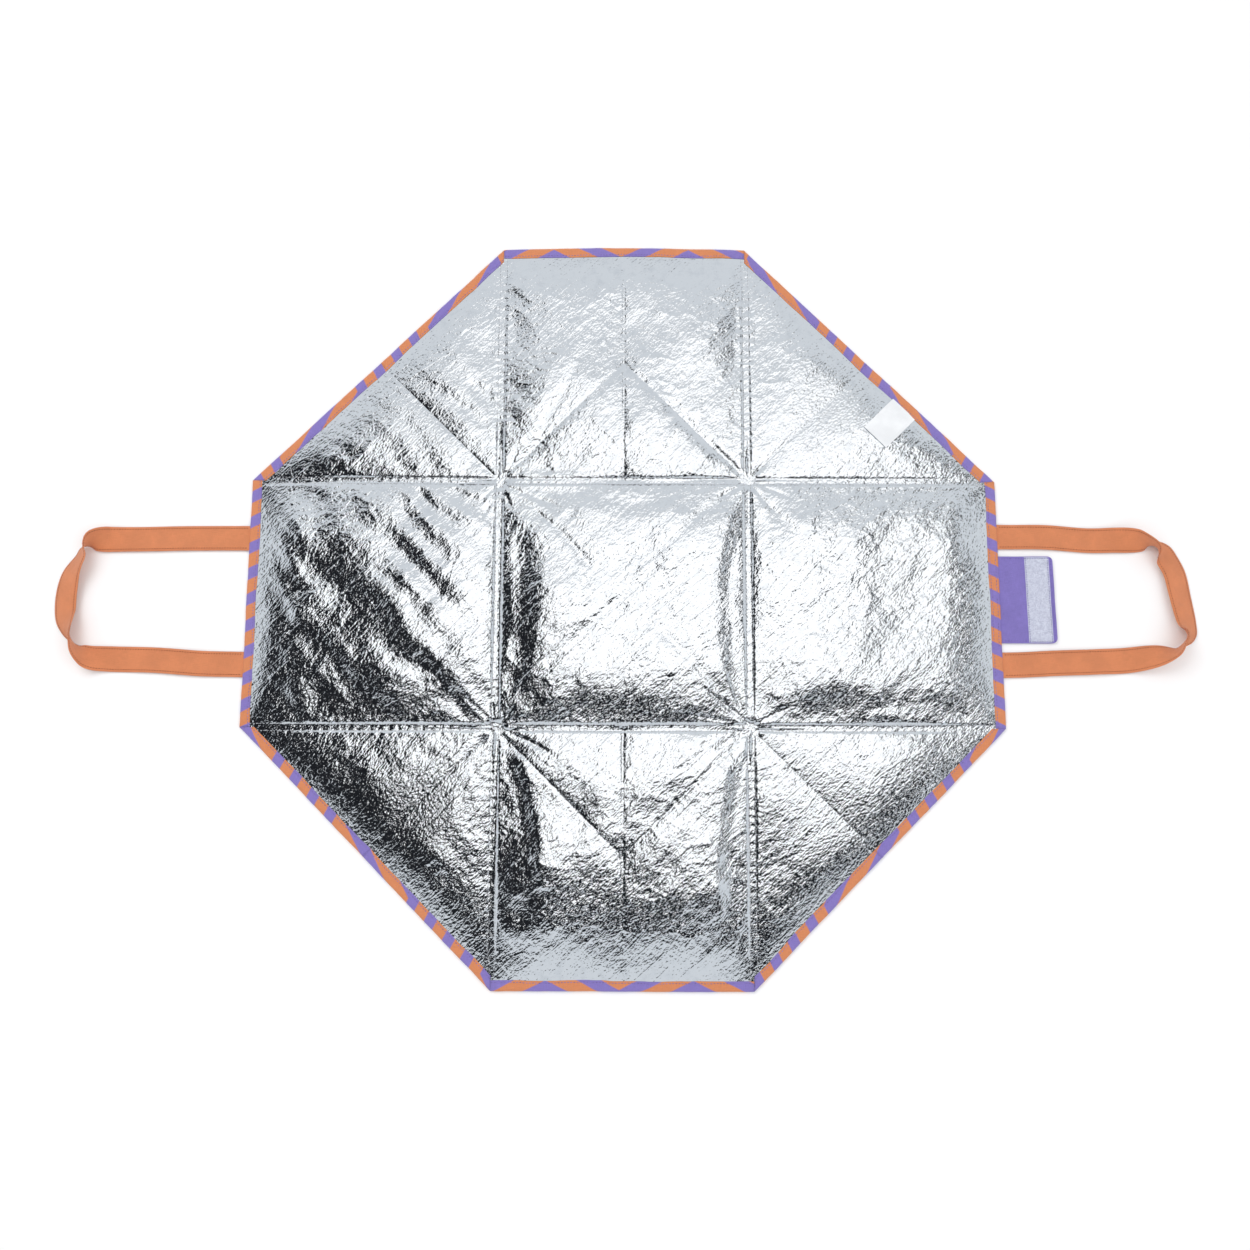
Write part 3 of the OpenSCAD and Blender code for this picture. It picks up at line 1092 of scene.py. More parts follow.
@dataclass(frozen=True)
class PileFinish:
    """The fuzzy face of fastening tape, flat and smooth along its borders."""

    colour: Colour = (0.66, 0.69, 0.80)
    pile_shade: Colour = (0.42, 0.44, 0.56)

    def material(self, effects: Effects) -> bpy.types.Material:
        """Builds the material."""
        material, graph, shader, place = new_material("closure_tape")
        pile = graph.place(effects.pile, Vector=place)
        # Painted shade: the darker colour goes where the pile is low, the pile's own colour where it stands
        # high.
        colour = graph.tint(pile.outputs["Shade"], rgba(self.pile_shade), rgba(self.colour))
        graph.plug(shader.inputs["Base Color"], colour)
        graph.plug(shader.inputs["Roughness"], graph.span(pile.outputs["Shade"], 0.0, 1.0, 0.95, 0.75))
        shader.inputs["Sheen Weight"].default_value = 0.4
        shader.inputs["Sheen Roughness"].default_value = 0.5
        add_bump(graph, shader, pile.outputs["Height"])
        return material


@dataclass(frozen=True)
class ThreadFinish:
    """Twisted sewing thread.

    Attributes:
        name: The material's name.
        colour: The thread's colour.
    """

    name: str
    colour: Colour

    def material(self) -> bpy.types.Material:
        """Builds the material, which reads each stitch's own tone and its place along the stitch, and paints
        shade between the twisted plies.
        """
        material, graph, shader, _ = new_material(self.name)
        tone = graph.node("ShaderNodeAttribute", attribute_name="tone")
        ply = graph.node("ShaderNodeAttribute", attribute_name="ply")
        split = graph.node("ShaderNodeSeparateXYZ")
        graph.plug(split.inputs[0], ply.outputs["Vector"])
        along = graph.math("MULTIPLY", split.outputs[0], 9.0)
        twist = graph.math("MULTIPLY_ADD", split.outputs[1], 2.2, along)
        groove = graph.math("ABSOLUTE", graph.math("SINE", twist))
        # Painted shade: the thread is darker in the grooves between plies, where the bump is low; the
        # per-stitch tone is real.
        ply_shade = graph.math("MULTIPLY_ADD", groove, 0.22, 0.68)
        shade = graph.math("MULTIPLY_ADD", tone.outputs["Fac"], 0.25, ply_shade)
        toned = graph.node("ShaderNodeVectorMath", operation="SCALE")
        toned.inputs[0].default_value = self.colour
        graph.plug(toned.inputs[3], shade)
        graph.plug(shader.inputs["Base Color"], toned.outputs[0])
        graph.plug(shader.inputs["Roughness"], graph.span(groove, 0.0, 1.0, 0.7, 0.45))
        add_bump(graph, shader, graph.math("MULTIPLY", groove, 0.00004))
        return material


class Wardrobe:
    """Every material of the mat, made once."""

    def __init__(self) -> None:
        """Builds the shared effects and the materials."""
        effects = Effects()
        self.foil = FoilFinish().material(effects)
        self.foam = FoamFinish().material()
        self.cloth = StripedFinish("striped_cloth").material(effects)
        self.hem = StripedFinish("hem_cloth", roughness=0.58).material(effects)
        self.strap = WovenFinish(
            "strap", (0.72, 0.25, 0.105), 0.0009, 0.0011, 0.00011, contrast=0.16, creases=0.0004
        ).material(effects)
        self.tab = WovenFinish(
            "tab_cloth", (0.235, 0.185, 0.54), 0.0006, 0.0006, 0.00007, contrast=0.2
        ).material(effects)
        self.tape = PileFinish().material(effects)
        self.label = WovenFinish(
            "label_cloth", (0.86, 0.88, 0.90), 0.0003, 0.0008, 0.00003, 0.05, 0.42, 0.1, 0.0002
        ).material(effects)
        self.threads = {
            ThreadKind.LINING: ThreadFinish("lining_thread", (0.50, 0.52, 0.56)).material(),
            ThreadKind.HEM: ThreadFinish("hem_thread", (0.27, 0.21, 0.52)).material(),
            ThreadKind.STRAP: ThreadFinish("strap_thread", (0.30, 0.055, 0.018)).material(),
            ThreadKind.TAB: ThreadFinish("tab_thread", (0.20, 0.155, 0.47)).material(),
        }


# ---------------------------------------------------------------- sewing


@dataclass
class SeamRow:
    """One row of stitches.

    Attributes:
        path: Points along the row.
        up: The cloth's outward direction at each point.
    """

    path: Array
    up: Array


@dataclass
class Sewing:
    """Makes rows of stitches with one Geometry Nodes tree."""

    wardrobe: Wardrobe
    thread: float = 0.75 * MM
    tree: bpy.types.NodeTree = field(init=False)

    def __post_init__(self) -> None:
        """Builds the tree."""
        self.tree = self._build()

    @staticmethod
    def _build() -> bpy.types.NodeTree:
        """The tree: a path of edges to evenly spaced stitches that follow it."""
        tree = bpy.data.node_groups.new("stitch_row", "GeometryNodeTree")
        tree.is_modifier = True
        sockets = tree.interface
        sockets.new_socket("Geometry", in_out="INPUT", socket_type="NodeSocketGeometry")
        for name in ("Pitch", "Length", "Width", "Height", "Slant"):
            sockets.new_socket(name, in_out="INPUT", socket_type="NodeSocketFloat")
        sockets.new_socket("Seed", in_out="INPUT", socket_type="NodeSocketInt")
        sockets.new_socket("Thread", in_out="INPUT", socket_type="NodeSocketMaterial")
        sockets.new_socket("Geometry", in_out="OUTPUT", socket_type="NodeSocketGeometry")
        graph = Graph(tree)
        given = graph.node("NodeGroupInput").outputs
        out = graph.node("NodeGroupOutput").inputs
        curve = graph.node("GeometryNodeMeshToCurve")
        graph.plug(curve.inputs["Mesh"], given["Geometry"])
        spaced = graph.node("GeometryNodeResampleCurve", mode="LENGTH")
        graph.plug(spaced.inputs["Curve"], curve.outputs[0])
        graph.plug(spaced.inputs["Length"], given["Pitch"])
        ball = graph.node("GeometryNodeMeshUVSphere")
        ball.inputs["Segments"].default_value = 6
        ball.inputs["Rings"].default_value = 4
        ball.inputs["Radius"].default_value = 0.5
        tagged = graph.node("GeometryNodeStoreNamedAttribute", data_type="FLOAT_VECTOR", domain="POINT")
        graph.plug(tagged.inputs["Geometry"], ball.outputs["Mesh"])
        tagged.inputs["Name"].default_value = "ply"
        place = graph.node("GeometryNodeInputPosition")
        value = next(s for s in tagged.inputs if s.name == "Value" and s.type == "VECTOR")
        graph.plug(value, place.outputs[0])
        laid = graph.node("GeometryNodeTransform")
        graph.plug(laid.inputs["Geometry"], tagged.outputs[0])
        laid.inputs["Rotation"].default_value = (0.0, math.pi / 2, 0.0)
        tangent = graph.node("GeometryNodeInputTangent")
        heading = graph.node("FunctionNodeAlignRotationToVector", axis="X")
        graph.plug(heading.inputs["Vector"], tangent.outputs[0])
        upward = graph.node("GeometryNodeInputNamedAttribute", data_type="FLOAT_VECTOR")
        upward.inputs["Name"].default_value = "up"
        level = graph.node("FunctionNodeAlignRotationToVector", axis="Z", pivot_axis="X")
        graph.plug(level.inputs["Rotation"], heading.outputs[0])
        graph.plug(level.inputs["Vector"], upward.outputs[0])
        size = graph.node("ShaderNodeCombineXYZ")
        for axis, name in enumerate(("Length", "Width", "Height")):
            graph.plug(size.inputs[axis], given[name])
        many = graph.node("GeometryNodeInstanceOnPoints")
        graph.plug(many.inputs["Points"], spaced.outputs[0])
        graph.plug(many.inputs["Instance"], laid.outputs[0])
        graph.plug(many.inputs["Rotation"], level.outputs[0])
        graph.plug(many.inputs["Scale"], size.outputs[0])
        chance = graph.node("FunctionNodeRandomValue", data_type="FLOAT")
        floats = [socket for socket in chance.inputs if socket.type == "VALUE"]
        low, high = (next(s for s in floats if s.name == name) for name in ("Min", "Max"))
        low.default_value, high.default_value = -0.07, 0.07
        graph.plug(chance.inputs["Seed"], given["Seed"])
        chance_out = next(s for s in chance.outputs if s.type == "VALUE")
        skew = graph.node("ShaderNodeCombineXYZ")
        graph.plug(skew.inputs[2], graph.math("ADD", chance_out, given["Slant"]))
        turned = graph.node("GeometryNodeRotateInstances")
        graph.plug(turned.inputs["Instances"], many.outputs[0])
        graph.plug(turned.inputs["Rotation"], skew.outputs[0])
        toned = graph.node("GeometryNodeStoreNamedAttribute", data_type="FLOAT", domain="INSTANCE")
        graph.plug(toned.inputs["Geometry"], turned.outputs[0])
        toned.inputs["Name"].default_value = "tone"
        value = next(s for s in toned.inputs if s.name == "Value" and s.type == "VALUE")
        graph.plug(value, graph.math("MULTIPLY", chance_out, 14.0))
        real = graph.node("GeometryNodeRealizeInstances")
        graph.plug(real.inputs[0], toned.outputs[0])
        dressed = graph.node("GeometryNodeSetMaterial")
        graph.plug(dressed.inputs["Geometry"], real.outputs[0])
        graph.plug(dressed.inputs["Material"], given["Thread"])
        graph.plug(out[0], dressed.outputs[0])
        return tree

    def sew(
        self,
        name: str,
        rows: Sequence[SeamRow],
        kind: ThreadKind,
        pitch: float,
        seed: int,
        slant: float = 0.0,
    ) -> bpy.types.Object:
        """Sews rows of stitches into one plain mesh.

        Args:
            name: The piece's name.
            rows: The rows.
            kind: Which thread.
            pitch: From one stitch to the next.
            seed: Fixes the small differences between stitches.
            slant: Turn of each stitch from its row.

        Returns:
            The stitches as one mesh.
        """
        points, ups, edges = [], [], []
        for row in rows:
            start = len(points)
            points += row.path.tolist()
            ups += row.up.tolist()
            edges += [(i, i + 1) for i in range(start, len(points) - 1)]
        mesh = bpy.data.meshes.new(name + "_path")
        mesh.from_pydata(points, edges, [])
        layer = mesh.attributes.new("up", "FLOAT_VECTOR", "POINT")
        layer.data.foreach_set("vector", np.asarray(ups, np.float32).ravel())
        guide = bpy.data.objects.new(name + "_path", mesh)
        bpy.context.scene.collection.objects.link(guide)
        modifier = guide.modifiers.new("stitches", "NODES")
        modifier.node_group = self.tree
        values = {
            "Pitch": pitch,
            "Length": 0.66 * pitch,
            "Width": self.thread,
            "Height": 0.75 * self.thread,
            "Slant": slant,
            "Seed": seed,
            "Thread": self.wardrobe.threads[kind],
        }
        for item in self.tree.interface.items_tree:
            if item.item_type == "SOCKET" and item.in_out == "INPUT" and item.name in values:
                modifier[item.identifier] = values[item.name]
        guide.update_tag()
        bpy.context.view_layer.update()
        shaped = guide.evaluated_get(bpy.context.evaluated_depsgraph_get())
        stitches = bpy.data.objects.new(name, bpy.data.meshes.new_from_object(shaped))
        bpy.context.scene.collection.objects.link(stitches)
        bpy.data.objects.remove(guide)
        return stitches


# ---------------------------------------------------------------- the mat's pieces


def hang(piece: bpy.types.Object, plan: MatPlan, panel: Panel, length: float = 8 * MM) -> None:
    """Attaches a finished piece to its panel's body when the panel has no hinge; otherwise only bakes its
    transform into the mesh.
    """
    if panel.hinged_on is None:
        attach(piece, panel.name)
        return
    start, end = plan.bend(panel, length)
    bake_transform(piece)


@dataclass
class QuiltedLining:
    """The foam pads with their foil faces and the sewn channels between them."""

    plan: MatPlan
    surface: QuiltSurface
    wardrobe: Wardrobe
    sewing: Sewing
    step: float = 1.25 * MM
    row_offset: float = 3.4 * MM
    pitch: float = 3.3 * MM
    clearance: float = 0.25 * MM
    relief: float = 1.5 * MM
    thinnest: float = 0.4 * MM

    def top(self, panel: Panel) -> Callable[[Array, Array], Array]:
        """The foil's height function on a panel."""
        return lambda x, y: self.surface.top(x, y, panel.kind is PanelKind.GUSSET)

    def bottom(self, panel: Panel) -> Callable[[Array, Array], Array]:
        """The foam's underside on a panel, just above the outer cloth and thinner at a diagonal fold."""
        top = self.top(panel)
        relief = self.relief if panel.kind is PanelKind.GUSSET else 0.0

        def height(x: Array, y: Array) -> Array:
            """The underside's height at each place."""
            level = self.surface.cloth_bottom(x, y) + self.surface.cloth_thickness + self.clearance
            level += relief * np.exp(-((np.abs(np.abs(x) - np.abs(y)) * DIAGONAL / (6 * MM)) ** 2))
            return np.minimum(level, top(x, y) - self.thinnest)

        return height

    def pad(self, panel: Panel) -> bpy.types.Object:
        """Builds one panel's pad."""
        rim_gap = 1.0 * MM
        gaps = [0.0, 0.0 if panel.kind is PanelKind.BASE else rim_gap, 0.0, 0.0]
        grid = panel_grid(self.plan, panel, gaps[: len(self.plan.outline(panel.kind))], self.step)
        materials = [self.wardrobe.foil, self.wardrobe.foam]
        piece = slab_piece(f"pad_{panel.name}", panel, grid, self.top(panel), self.bottom(panel), materials)
        hang(piece, self.plan, panel)
        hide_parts(f"foam_{panel.name}", f"foil_{panel.name}")
        return piece

    def _row(self, panel: Panel, start: Array, end: Array) -> SeamRow:
        """A row of stitches over the foil between two places."""
        count = max(2, round(float(np.linalg.norm(end - start)) / (1.5 * MM)))
        flat = panel.placed(start + (end - start) * np.linspace(0, 1, count + 1)[:, None])
        flat = flat + 0.25 * MM * LatticeNoise(31)(flat[:, 1] / 0.02, flat[:, 0] / 0.02)[:, None]
        level = self.top(panel)(flat[:, 0], flat[:, 1])
        path = np.column_stack([flat, level + 0.12 * MM])
        return SeamRow(path, np.tile([0.0, 0.0, 1.0], (len(path), 1)))

    def seams(self, panel: Panel) -> bpy.types.Object:
        """Sews the rows beside the panel's stitched creases."""
        half, rim, off = self.plan.half, self.plan.rim - self.plan.hem_width, self.row_offset
        if panel.kind is PanelKind.BASE:
            near = half - off
            corners = [(near, near), (-near, near), (-near, -near), (near, -near)]
            lines = [(corners[i], corners[(i + 1) % 4]) for i in range(4)]
        elif panel.kind is PanelKind.WALL:
            lines = [
                ((half + off, -half + off), (half + off, half - off)),
                ((half + off, -half + off), (rim, -half + off)),
                ((half + off, half - off), (rim, half - off)),
            ]
        else:
            past = self.plan.hem_width / DIAGONAL
            lines = [((half + 2.4 * off, half + off), (self.plan.rim - past - off, half + off))]
        rows = [self._row(panel, np.array(a), np.array(b)) for a, b in lines]
        piece = self.sewing.sew(f"stitches_lining_{panel.name}", rows, ThreadKind.LINING, self.pitch, 5)
        hang(piece, self.plan, panel)
        return piece


@dataclass
class OuterCloth:
    """The zigzag-striped cloth under the pads, in one piece for each panel."""

    plan: MatPlan
    surface: QuiltSurface
    wardrobe: Wardrobe
    step: float = 2.5 * MM
    tape_lift: float = 0.55 * MM

    def _bottom(self, x: Array, y: Array) -> Array:
        """The cloth's underside, raised where the loop tape lies under it."""
        low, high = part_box("loop_tape")
        beside = np.maximum(np.maximum(low.x - x, x - high.x), np.maximum(low.y - y, y - high.y))
        over = 1 - smooth_step(beside, 0.0, 7 * MM)
        level = self.surface.cloth_bottom(x, y)
        return level + over * np.maximum(self.tape_lift - level, 0)

    def build(self, panel: Panel) -> bpy.types.Object:
        """Builds one panel's cloth."""
        corners = self.plan.outline(panel.kind)
        gaps = [0.0, 0.0 if panel.kind is PanelKind.BASE else 0.7 * MM, 0.0, 0.0][: len(corners)]
        grid = panel_grid(self.plan, panel, gaps, self.step)
        thick = self.surface.cloth_thickness
        piece = slab_piece(
            f"cloth_{panel.name}",
            panel,
            grid,
            lambda x, y: self._bottom(x, y) + thick,
            self._bottom,
            [self.wardrobe.cloth],
        )
        hang(piece, self.plan, panel)
        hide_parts(f"shell_{panel.name}")
        return piece


@dataclass
class HemBinding:
    """The outer cloth's edge, turned up over the rim and sewn down on the lining."""

    plan: MatPlan
    wardrobe: Wardrobe
    sewing: Sewing
    thickness: float = 0.7 * MM
    crown: float = 3.35 * MM
    bow: float = 2.4 * MM
    waviness: float = 0.8 * MM
    stitch_in: float = 8.0 * MM
    pitch: float = 3.0 * MM
    allowance: float = 14 * MM

    def _profile(self) -> Array:
        """Rows of inward distance, height and distance along the cloth, in metres."""
        top, thick, wide = self.crown, self.thickness, self.plan.hem_width
        outer = [
            (0.9 * MM, 0.02 * MM),
            (0.35 * MM, 0.25 * MM),
            (0.02 * MM, 0.9 * MM),
            (0.0, 1.7 * MM),
            (0.25 * MM, 2.5 * MM),
            (0.9 * MM, top - 0.25 * MM),
            (2.0 * MM, top),
            (3.6 * MM, top + 0.1 * MM),
            (5.4 * MM, top + 0.05 * MM),
            (7.0 * MM, top - 0.15 * MM),
            (8.0 * MM, top - 0.38 * MM),
            (9.0 * MM, top - 0.2 * MM),
            (wide - 0.3 * MM, top - 0.25 * MM),
            (wide + 0.05 * MM, top - 0.6 * MM),
            (wide - 0.2 * MM, top - 0.95 * MM),
        ]
        inner = [
            (8.2 * MM, top - thick - 0.38 * MM),
            (5.0 * MM, top - thick - 0.05 * MM),
            (1.9 * MM, top - thick - 0.2 * MM),
            (0.95 * MM, 1.9 * MM),
            (0.85 * MM, 0.9 * MM),
            (1.1 * MM, 0.5 * MM),
        ]
        rows = np.array(outer + inner)
        run = np.concatenate([[0], np.cumsum(np.linalg.norm(np.diff(rows, axis=0), axis=1))])
        run[len(outer) :] = run[len(outer) - 1]
        return np.column_stack([rows, run])

    def _line(self, panel: Panel, inward: float, step: float) -> tuple[Array, Array]:
        """Points along the hem at one distance inside the edge, and the outward direction."""
        corners = self.plan.outline(panel.kind)
        gaps = [0.02 * MM, inward, 0.02 * MM, 0.0][: len(corners)]
        ends = inset(corners, gaps)
        full = np.linalg.norm(corners[2] - corners[1])
        count = round(float(full) / step)
        flat = panel.placed(ends[1] + (ends[2] - ends[1]) * np.linspace(0, 1, count + 1)[:, None])
        way = corners[2] - corners[1]
        outward = panel.placed(np.array([way[1], -way[0]]) / np.linalg.norm(way))
        return flat, outward

    def _settle(self, panel: Panel, flat: Array, outward: Array, inward: float, level: float) -> Array:
        """Gives a line of hem points its waves and its bow."""
        run = np.linspace(0, 1, len(flat))
        free = min(1.0, inward / self.plan.hem_width)
        sway = LatticeNoise(41)(flat[:, 0] / 0.035 + 50, flat[:, 1] / 0.035 + 50)
        fine = LatticeNoise(42)(flat[:, 0] / 0.009 + 50, flat[:, 1] / 0.009 + 50)
        out = self.waviness * (0.45 + 0.75 * free) * (sway + 0.35 * fine)
        if panel.name == "back_wall":
            out = out + self.bow * np.sin(math.pi * run)
        lift = 0.16 * MM * fine * min(1.0, level / (1.5 * MM))
        moved = flat + out[:, None] * outward
        return np.column_stack([moved, np.maximum(level + lift, 0.0)])

    def build(self, panel: Panel) -> bpy.types.Object:
        """Builds one panel's hem."""
        rings, places = [], []
        edge = panel.placed(self.plan.outline(panel.kind)[1])
        for inward, level, run in self._profile():
            flat, outward = self._line(panel, inward, 2.5 * MM)
            rings.append(self._settle(panel, flat, outward, inward, level))
            foot = flat - ((flat - edge) @ outward)[:, None] * outward
            places.append(foot + run * outward)
        solid = np.stack(rings, axis=1)
        uv = np.stack(places, axis=1)
        if not panel.mirrored:
            solid, uv = solid[:, ::-1], uv[:, ::-1]
        piece = swept_piece(f"hem_{panel.name}_binding", solid, uv, self.wardrobe.hem)
        hang(piece, self.plan, panel)
        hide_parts(f"hem_{panel.name}")
        corners = self.plan.outline(panel.kind)
        return piece

    def _top_row(self, panel: Panel, inward: float) -> SeamRow:
        """A row of stitches on top of the hem."""
        profile = self._profile()[:15]
        level = float(np.interp(inward, profile[:, 0], profile[:, 1]))
        flat, outward = self._line(panel, inward, 1.5 * MM)
        path = self._settle(panel, flat, outward, inward, level + 0.10 * MM)
        return SeamRow(path[1:-1], np.tile([0.0, 0.0, 1.0], (len(path) - 2, 1)))

    def topstitch(self, panel: Panel) -> bpy.types.Object:
        """Sews the hem down."""
        rows = [self._top_row(panel, self.stitch_in)]
        if panel.name == "right_wall":
            row = self._top_row(panel, 3.0 * MM)
            low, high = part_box("closure_tab")
            keep = (row.path[:, 1] > low.y - 3 * MM) & (row.path[:, 1] < high.y + 3 * MM)
            rows.append(SeamRow(row.path[keep], row.up[keep]))
        piece = self.sewing.sew(f"stitches_hem_{panel.name}", rows, ThreadKind.HEM, self.pitch, 8)
        hang(piece, self.plan, panel)
        return piece


Station = tuple[float, float, tuple[float, float, float]]

RIGHT_ROUTE: tuple[Station, ...] = (
    (50, 68, (0, 1, 0)), (90, 65, (0, 1, 0)), (120, 65, (0, 24, 4)), (138, 63, (-3, 20, 14)),
    (150, 59, (-9, 8, 22)), (161, 52, (-21, 1, 13)), (168, 43, (-24, -1, 7)), (174.5, 29, (-24, 0, 6)),
    (178, 8, (-24, 0, 7)),
    (182, -17, (-23, 0, 9)), (182, -31, (-18, -4, 17)), (176, -41, (-5, -2, 24)), (168, -50, (-4, -12, 22)),
    (148, -54, (4, -22, 10)), (123, -57, (3, -24, 0)),
)
LEFT_ROUTE: tuple[Station, ...] = (
    (125, 64, (0, 1, 0)), (144, 63, (0, 23, 9)), (155, 61, (-5, 16, 18)), (161, 55, (-11, 8, 21)),
    (165, 44, (-18, 5, 17)), (174, 27, (-22, 2, 12)), (178, 8, (-23.5, 0, 8)), (178, -10, (-23.5, 0, 8)),
    (174, -25, (-19, -1, 16)), (167, -41, (-7, -6, 23)), (161, -51, (1, -14, 20)), (151, -57, (3, -23, 8)),
    (132, -58, (0, -1, 0)),
)


@dataclass
class CarryStrap:
    """A webbing strap whose two arms are sewn under the hem and whose middle lies turned over.

    Attributes:
        name: The handle's body.
        wall: The wall that it is sewn to; not used.
        side: 1 at the right, -1 at the left.
        route: Distance out from the rim, place along it, and direction across, in millimetres.
        arms: Where the two arms leave the hem.
    """

    plan: MatPlan
    wardrobe: Wardrobe
    sewing: Sewing
    name: str
    wall: str
    side: int
    route: tuple[Station, ...]
    arms: tuple[float, float]
    width: float = 25 * MM
    thickness: float = 1.3 * MM
    lowest: float = 0.65 * MM
    tuck: float = 8 * MM
    pitch: float = 2.6 * MM

    def _frames(self) -> tuple[Array, Array, Array, Array]:
        """Centres, across directions, outward directions and distances along the strap."""
        first, last = self.arms
        tuck = -self.tuck / MM
        stations = [(tuck, first, (0, 1, 0)), (2, first, (0, 1, 0)), (18, first, (0, 1, 0)), *self.route]
        stations += [(90, 0.2 * last - 46, (0, -1, 0)), (40, last + 1, (0, -1, 0)), (2, last, (0, -1, 0))]
        stations += [(tuck, last, (0, -1, 0))]
        rows = []
        for out, along, way in stations:
            across = np.array(way, float) / np.linalg.norm(way)
            height = self.lowest + self.thickness / 2 + abs(across[2]) * self.width / 2
            rows.append([self.plan.rim + out * MM, along * MM, height, *across])
        path = smooth_path(np.array(rows), 2.2 * MM)
        centre, across = path[:, :3].copy(), path[:, 3:].copy()
        run = np.concatenate([[0], np.cumsum(np.linalg.norm(np.diff(centre, axis=0), axis=1))])
        heading = np.gradient(centre, axis=0)
        heading /= np.linalg.norm(heading, axis=1)[:, None]
        across -= (across * heading).sum(1)[:, None] * heading
        across /= np.linalg.norm(across, axis=1)[:, None]
        normal = np.cross(heading, across)
        free = smooth_step(centre[:, 0] - self.plan.rim, 0.01, 0.05)
        wave = LatticeNoise(51)(run / 0.045 + 10 * self.side + 40, run * 0)
        centre[:, 2] += 0.5 * MM * free * (1 + wave)
        centre[:, 1] += 0.7 * MM * free * LatticeNoise(52)(run / 0.06 + 10 * self.side + 40, run * 0)
        if self.side < 0:
            mirror = np.array([-1.0, 1.0, 1.0])
            centre, across, normal = centre * mirror, across * mirror, normal * mirror
        return centre, across, normal, run

    def _bowed(self, share: float, run: Array) -> Array:
        """How far the webbing's cross-section stands off its middle plane."""
        edge = LatticeNoise(53)(run / 0.03 + 60, np.full_like(run, share * 2))
        return (0.35 * (share**2) - 0.1) * 0.9 * MM + 0.35 * MM * share * edge

    def build(self) -> bpy.types.Object:
        """Builds the webbing."""
        centre, across, normal, run = self._frames()
        half, thick = self.width / 2, self.thickness / 2
        round_edge = 0.55 * MM
        outline = []
        for share in np.linspace(-1, 1, 9):
            pinch = 0.45 if abs(share) > 0.99 else 1.0
            outline.append((share * half, thick * pinch))
        outline += [(half + round_edge, 0.0)]
        outline += [(a, -b) for a, b in reversed(outline[:9])]
        outline += [(-half - round_edge, 0.0)]
        rings, places = [], []
        for sideways, off in outline:
            share = float(np.clip(sideways / half, -1, 1))
            lift = self._bowed(share, run) + off
            ring = centre + 0.975 * sideways * across + lift[:, None] * normal
            ring[:, 2] = np.maximum(ring[:, 2], 0.05 * MM)
            rings.append(ring)
            places.append(np.column_stack([np.full_like(run, sideways), run]))
        solid, uv = np.stack(rings, axis=1), np.stack(places, axis=1)
        if self.side > 0:
            solid, uv = solid[:, ::-1], uv[:, ::-1]
        piece = swept_piece(f"strap_{self.name}", solid, uv, self.wardrobe.strap)
        self._hang(piece)
        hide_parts(self.name, f"{self.name}_ends")
        return piece

    def _hang(self, piece: bpy.types.Object) -> None:
        """Bakes the strap's transform into its mesh."""
        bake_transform(piece)

    def edging(self) -> bpy.types.Object:
        """Sews the rows along both edges, on both faces."""
        centre, across, normal, run = self._frames()
        keep = (np.abs(centre[:, 0]) > self.plan.rim + 1.5 * MM)
        rows = []
        for sideways in (-1, 1):
            share = 0.84
            middle = centre + sideways * share * 0.975 * self.width / 2 * across
            middle = middle + self._bowed(sideways * share, run)[:, None] * normal
            for face in (-1, 1):
                path = middle + face * (self.thickness / 2 + 0.02 * MM) * normal
                rows.append(SeamRow(path[keep], face * normal[keep]))
        piece = self.sewing.sew(f"stitches_{self.name}", rows, ThreadKind.STRAP, self.pitch, 3, slant=0.12)
        self._hang(piece)
        return piece


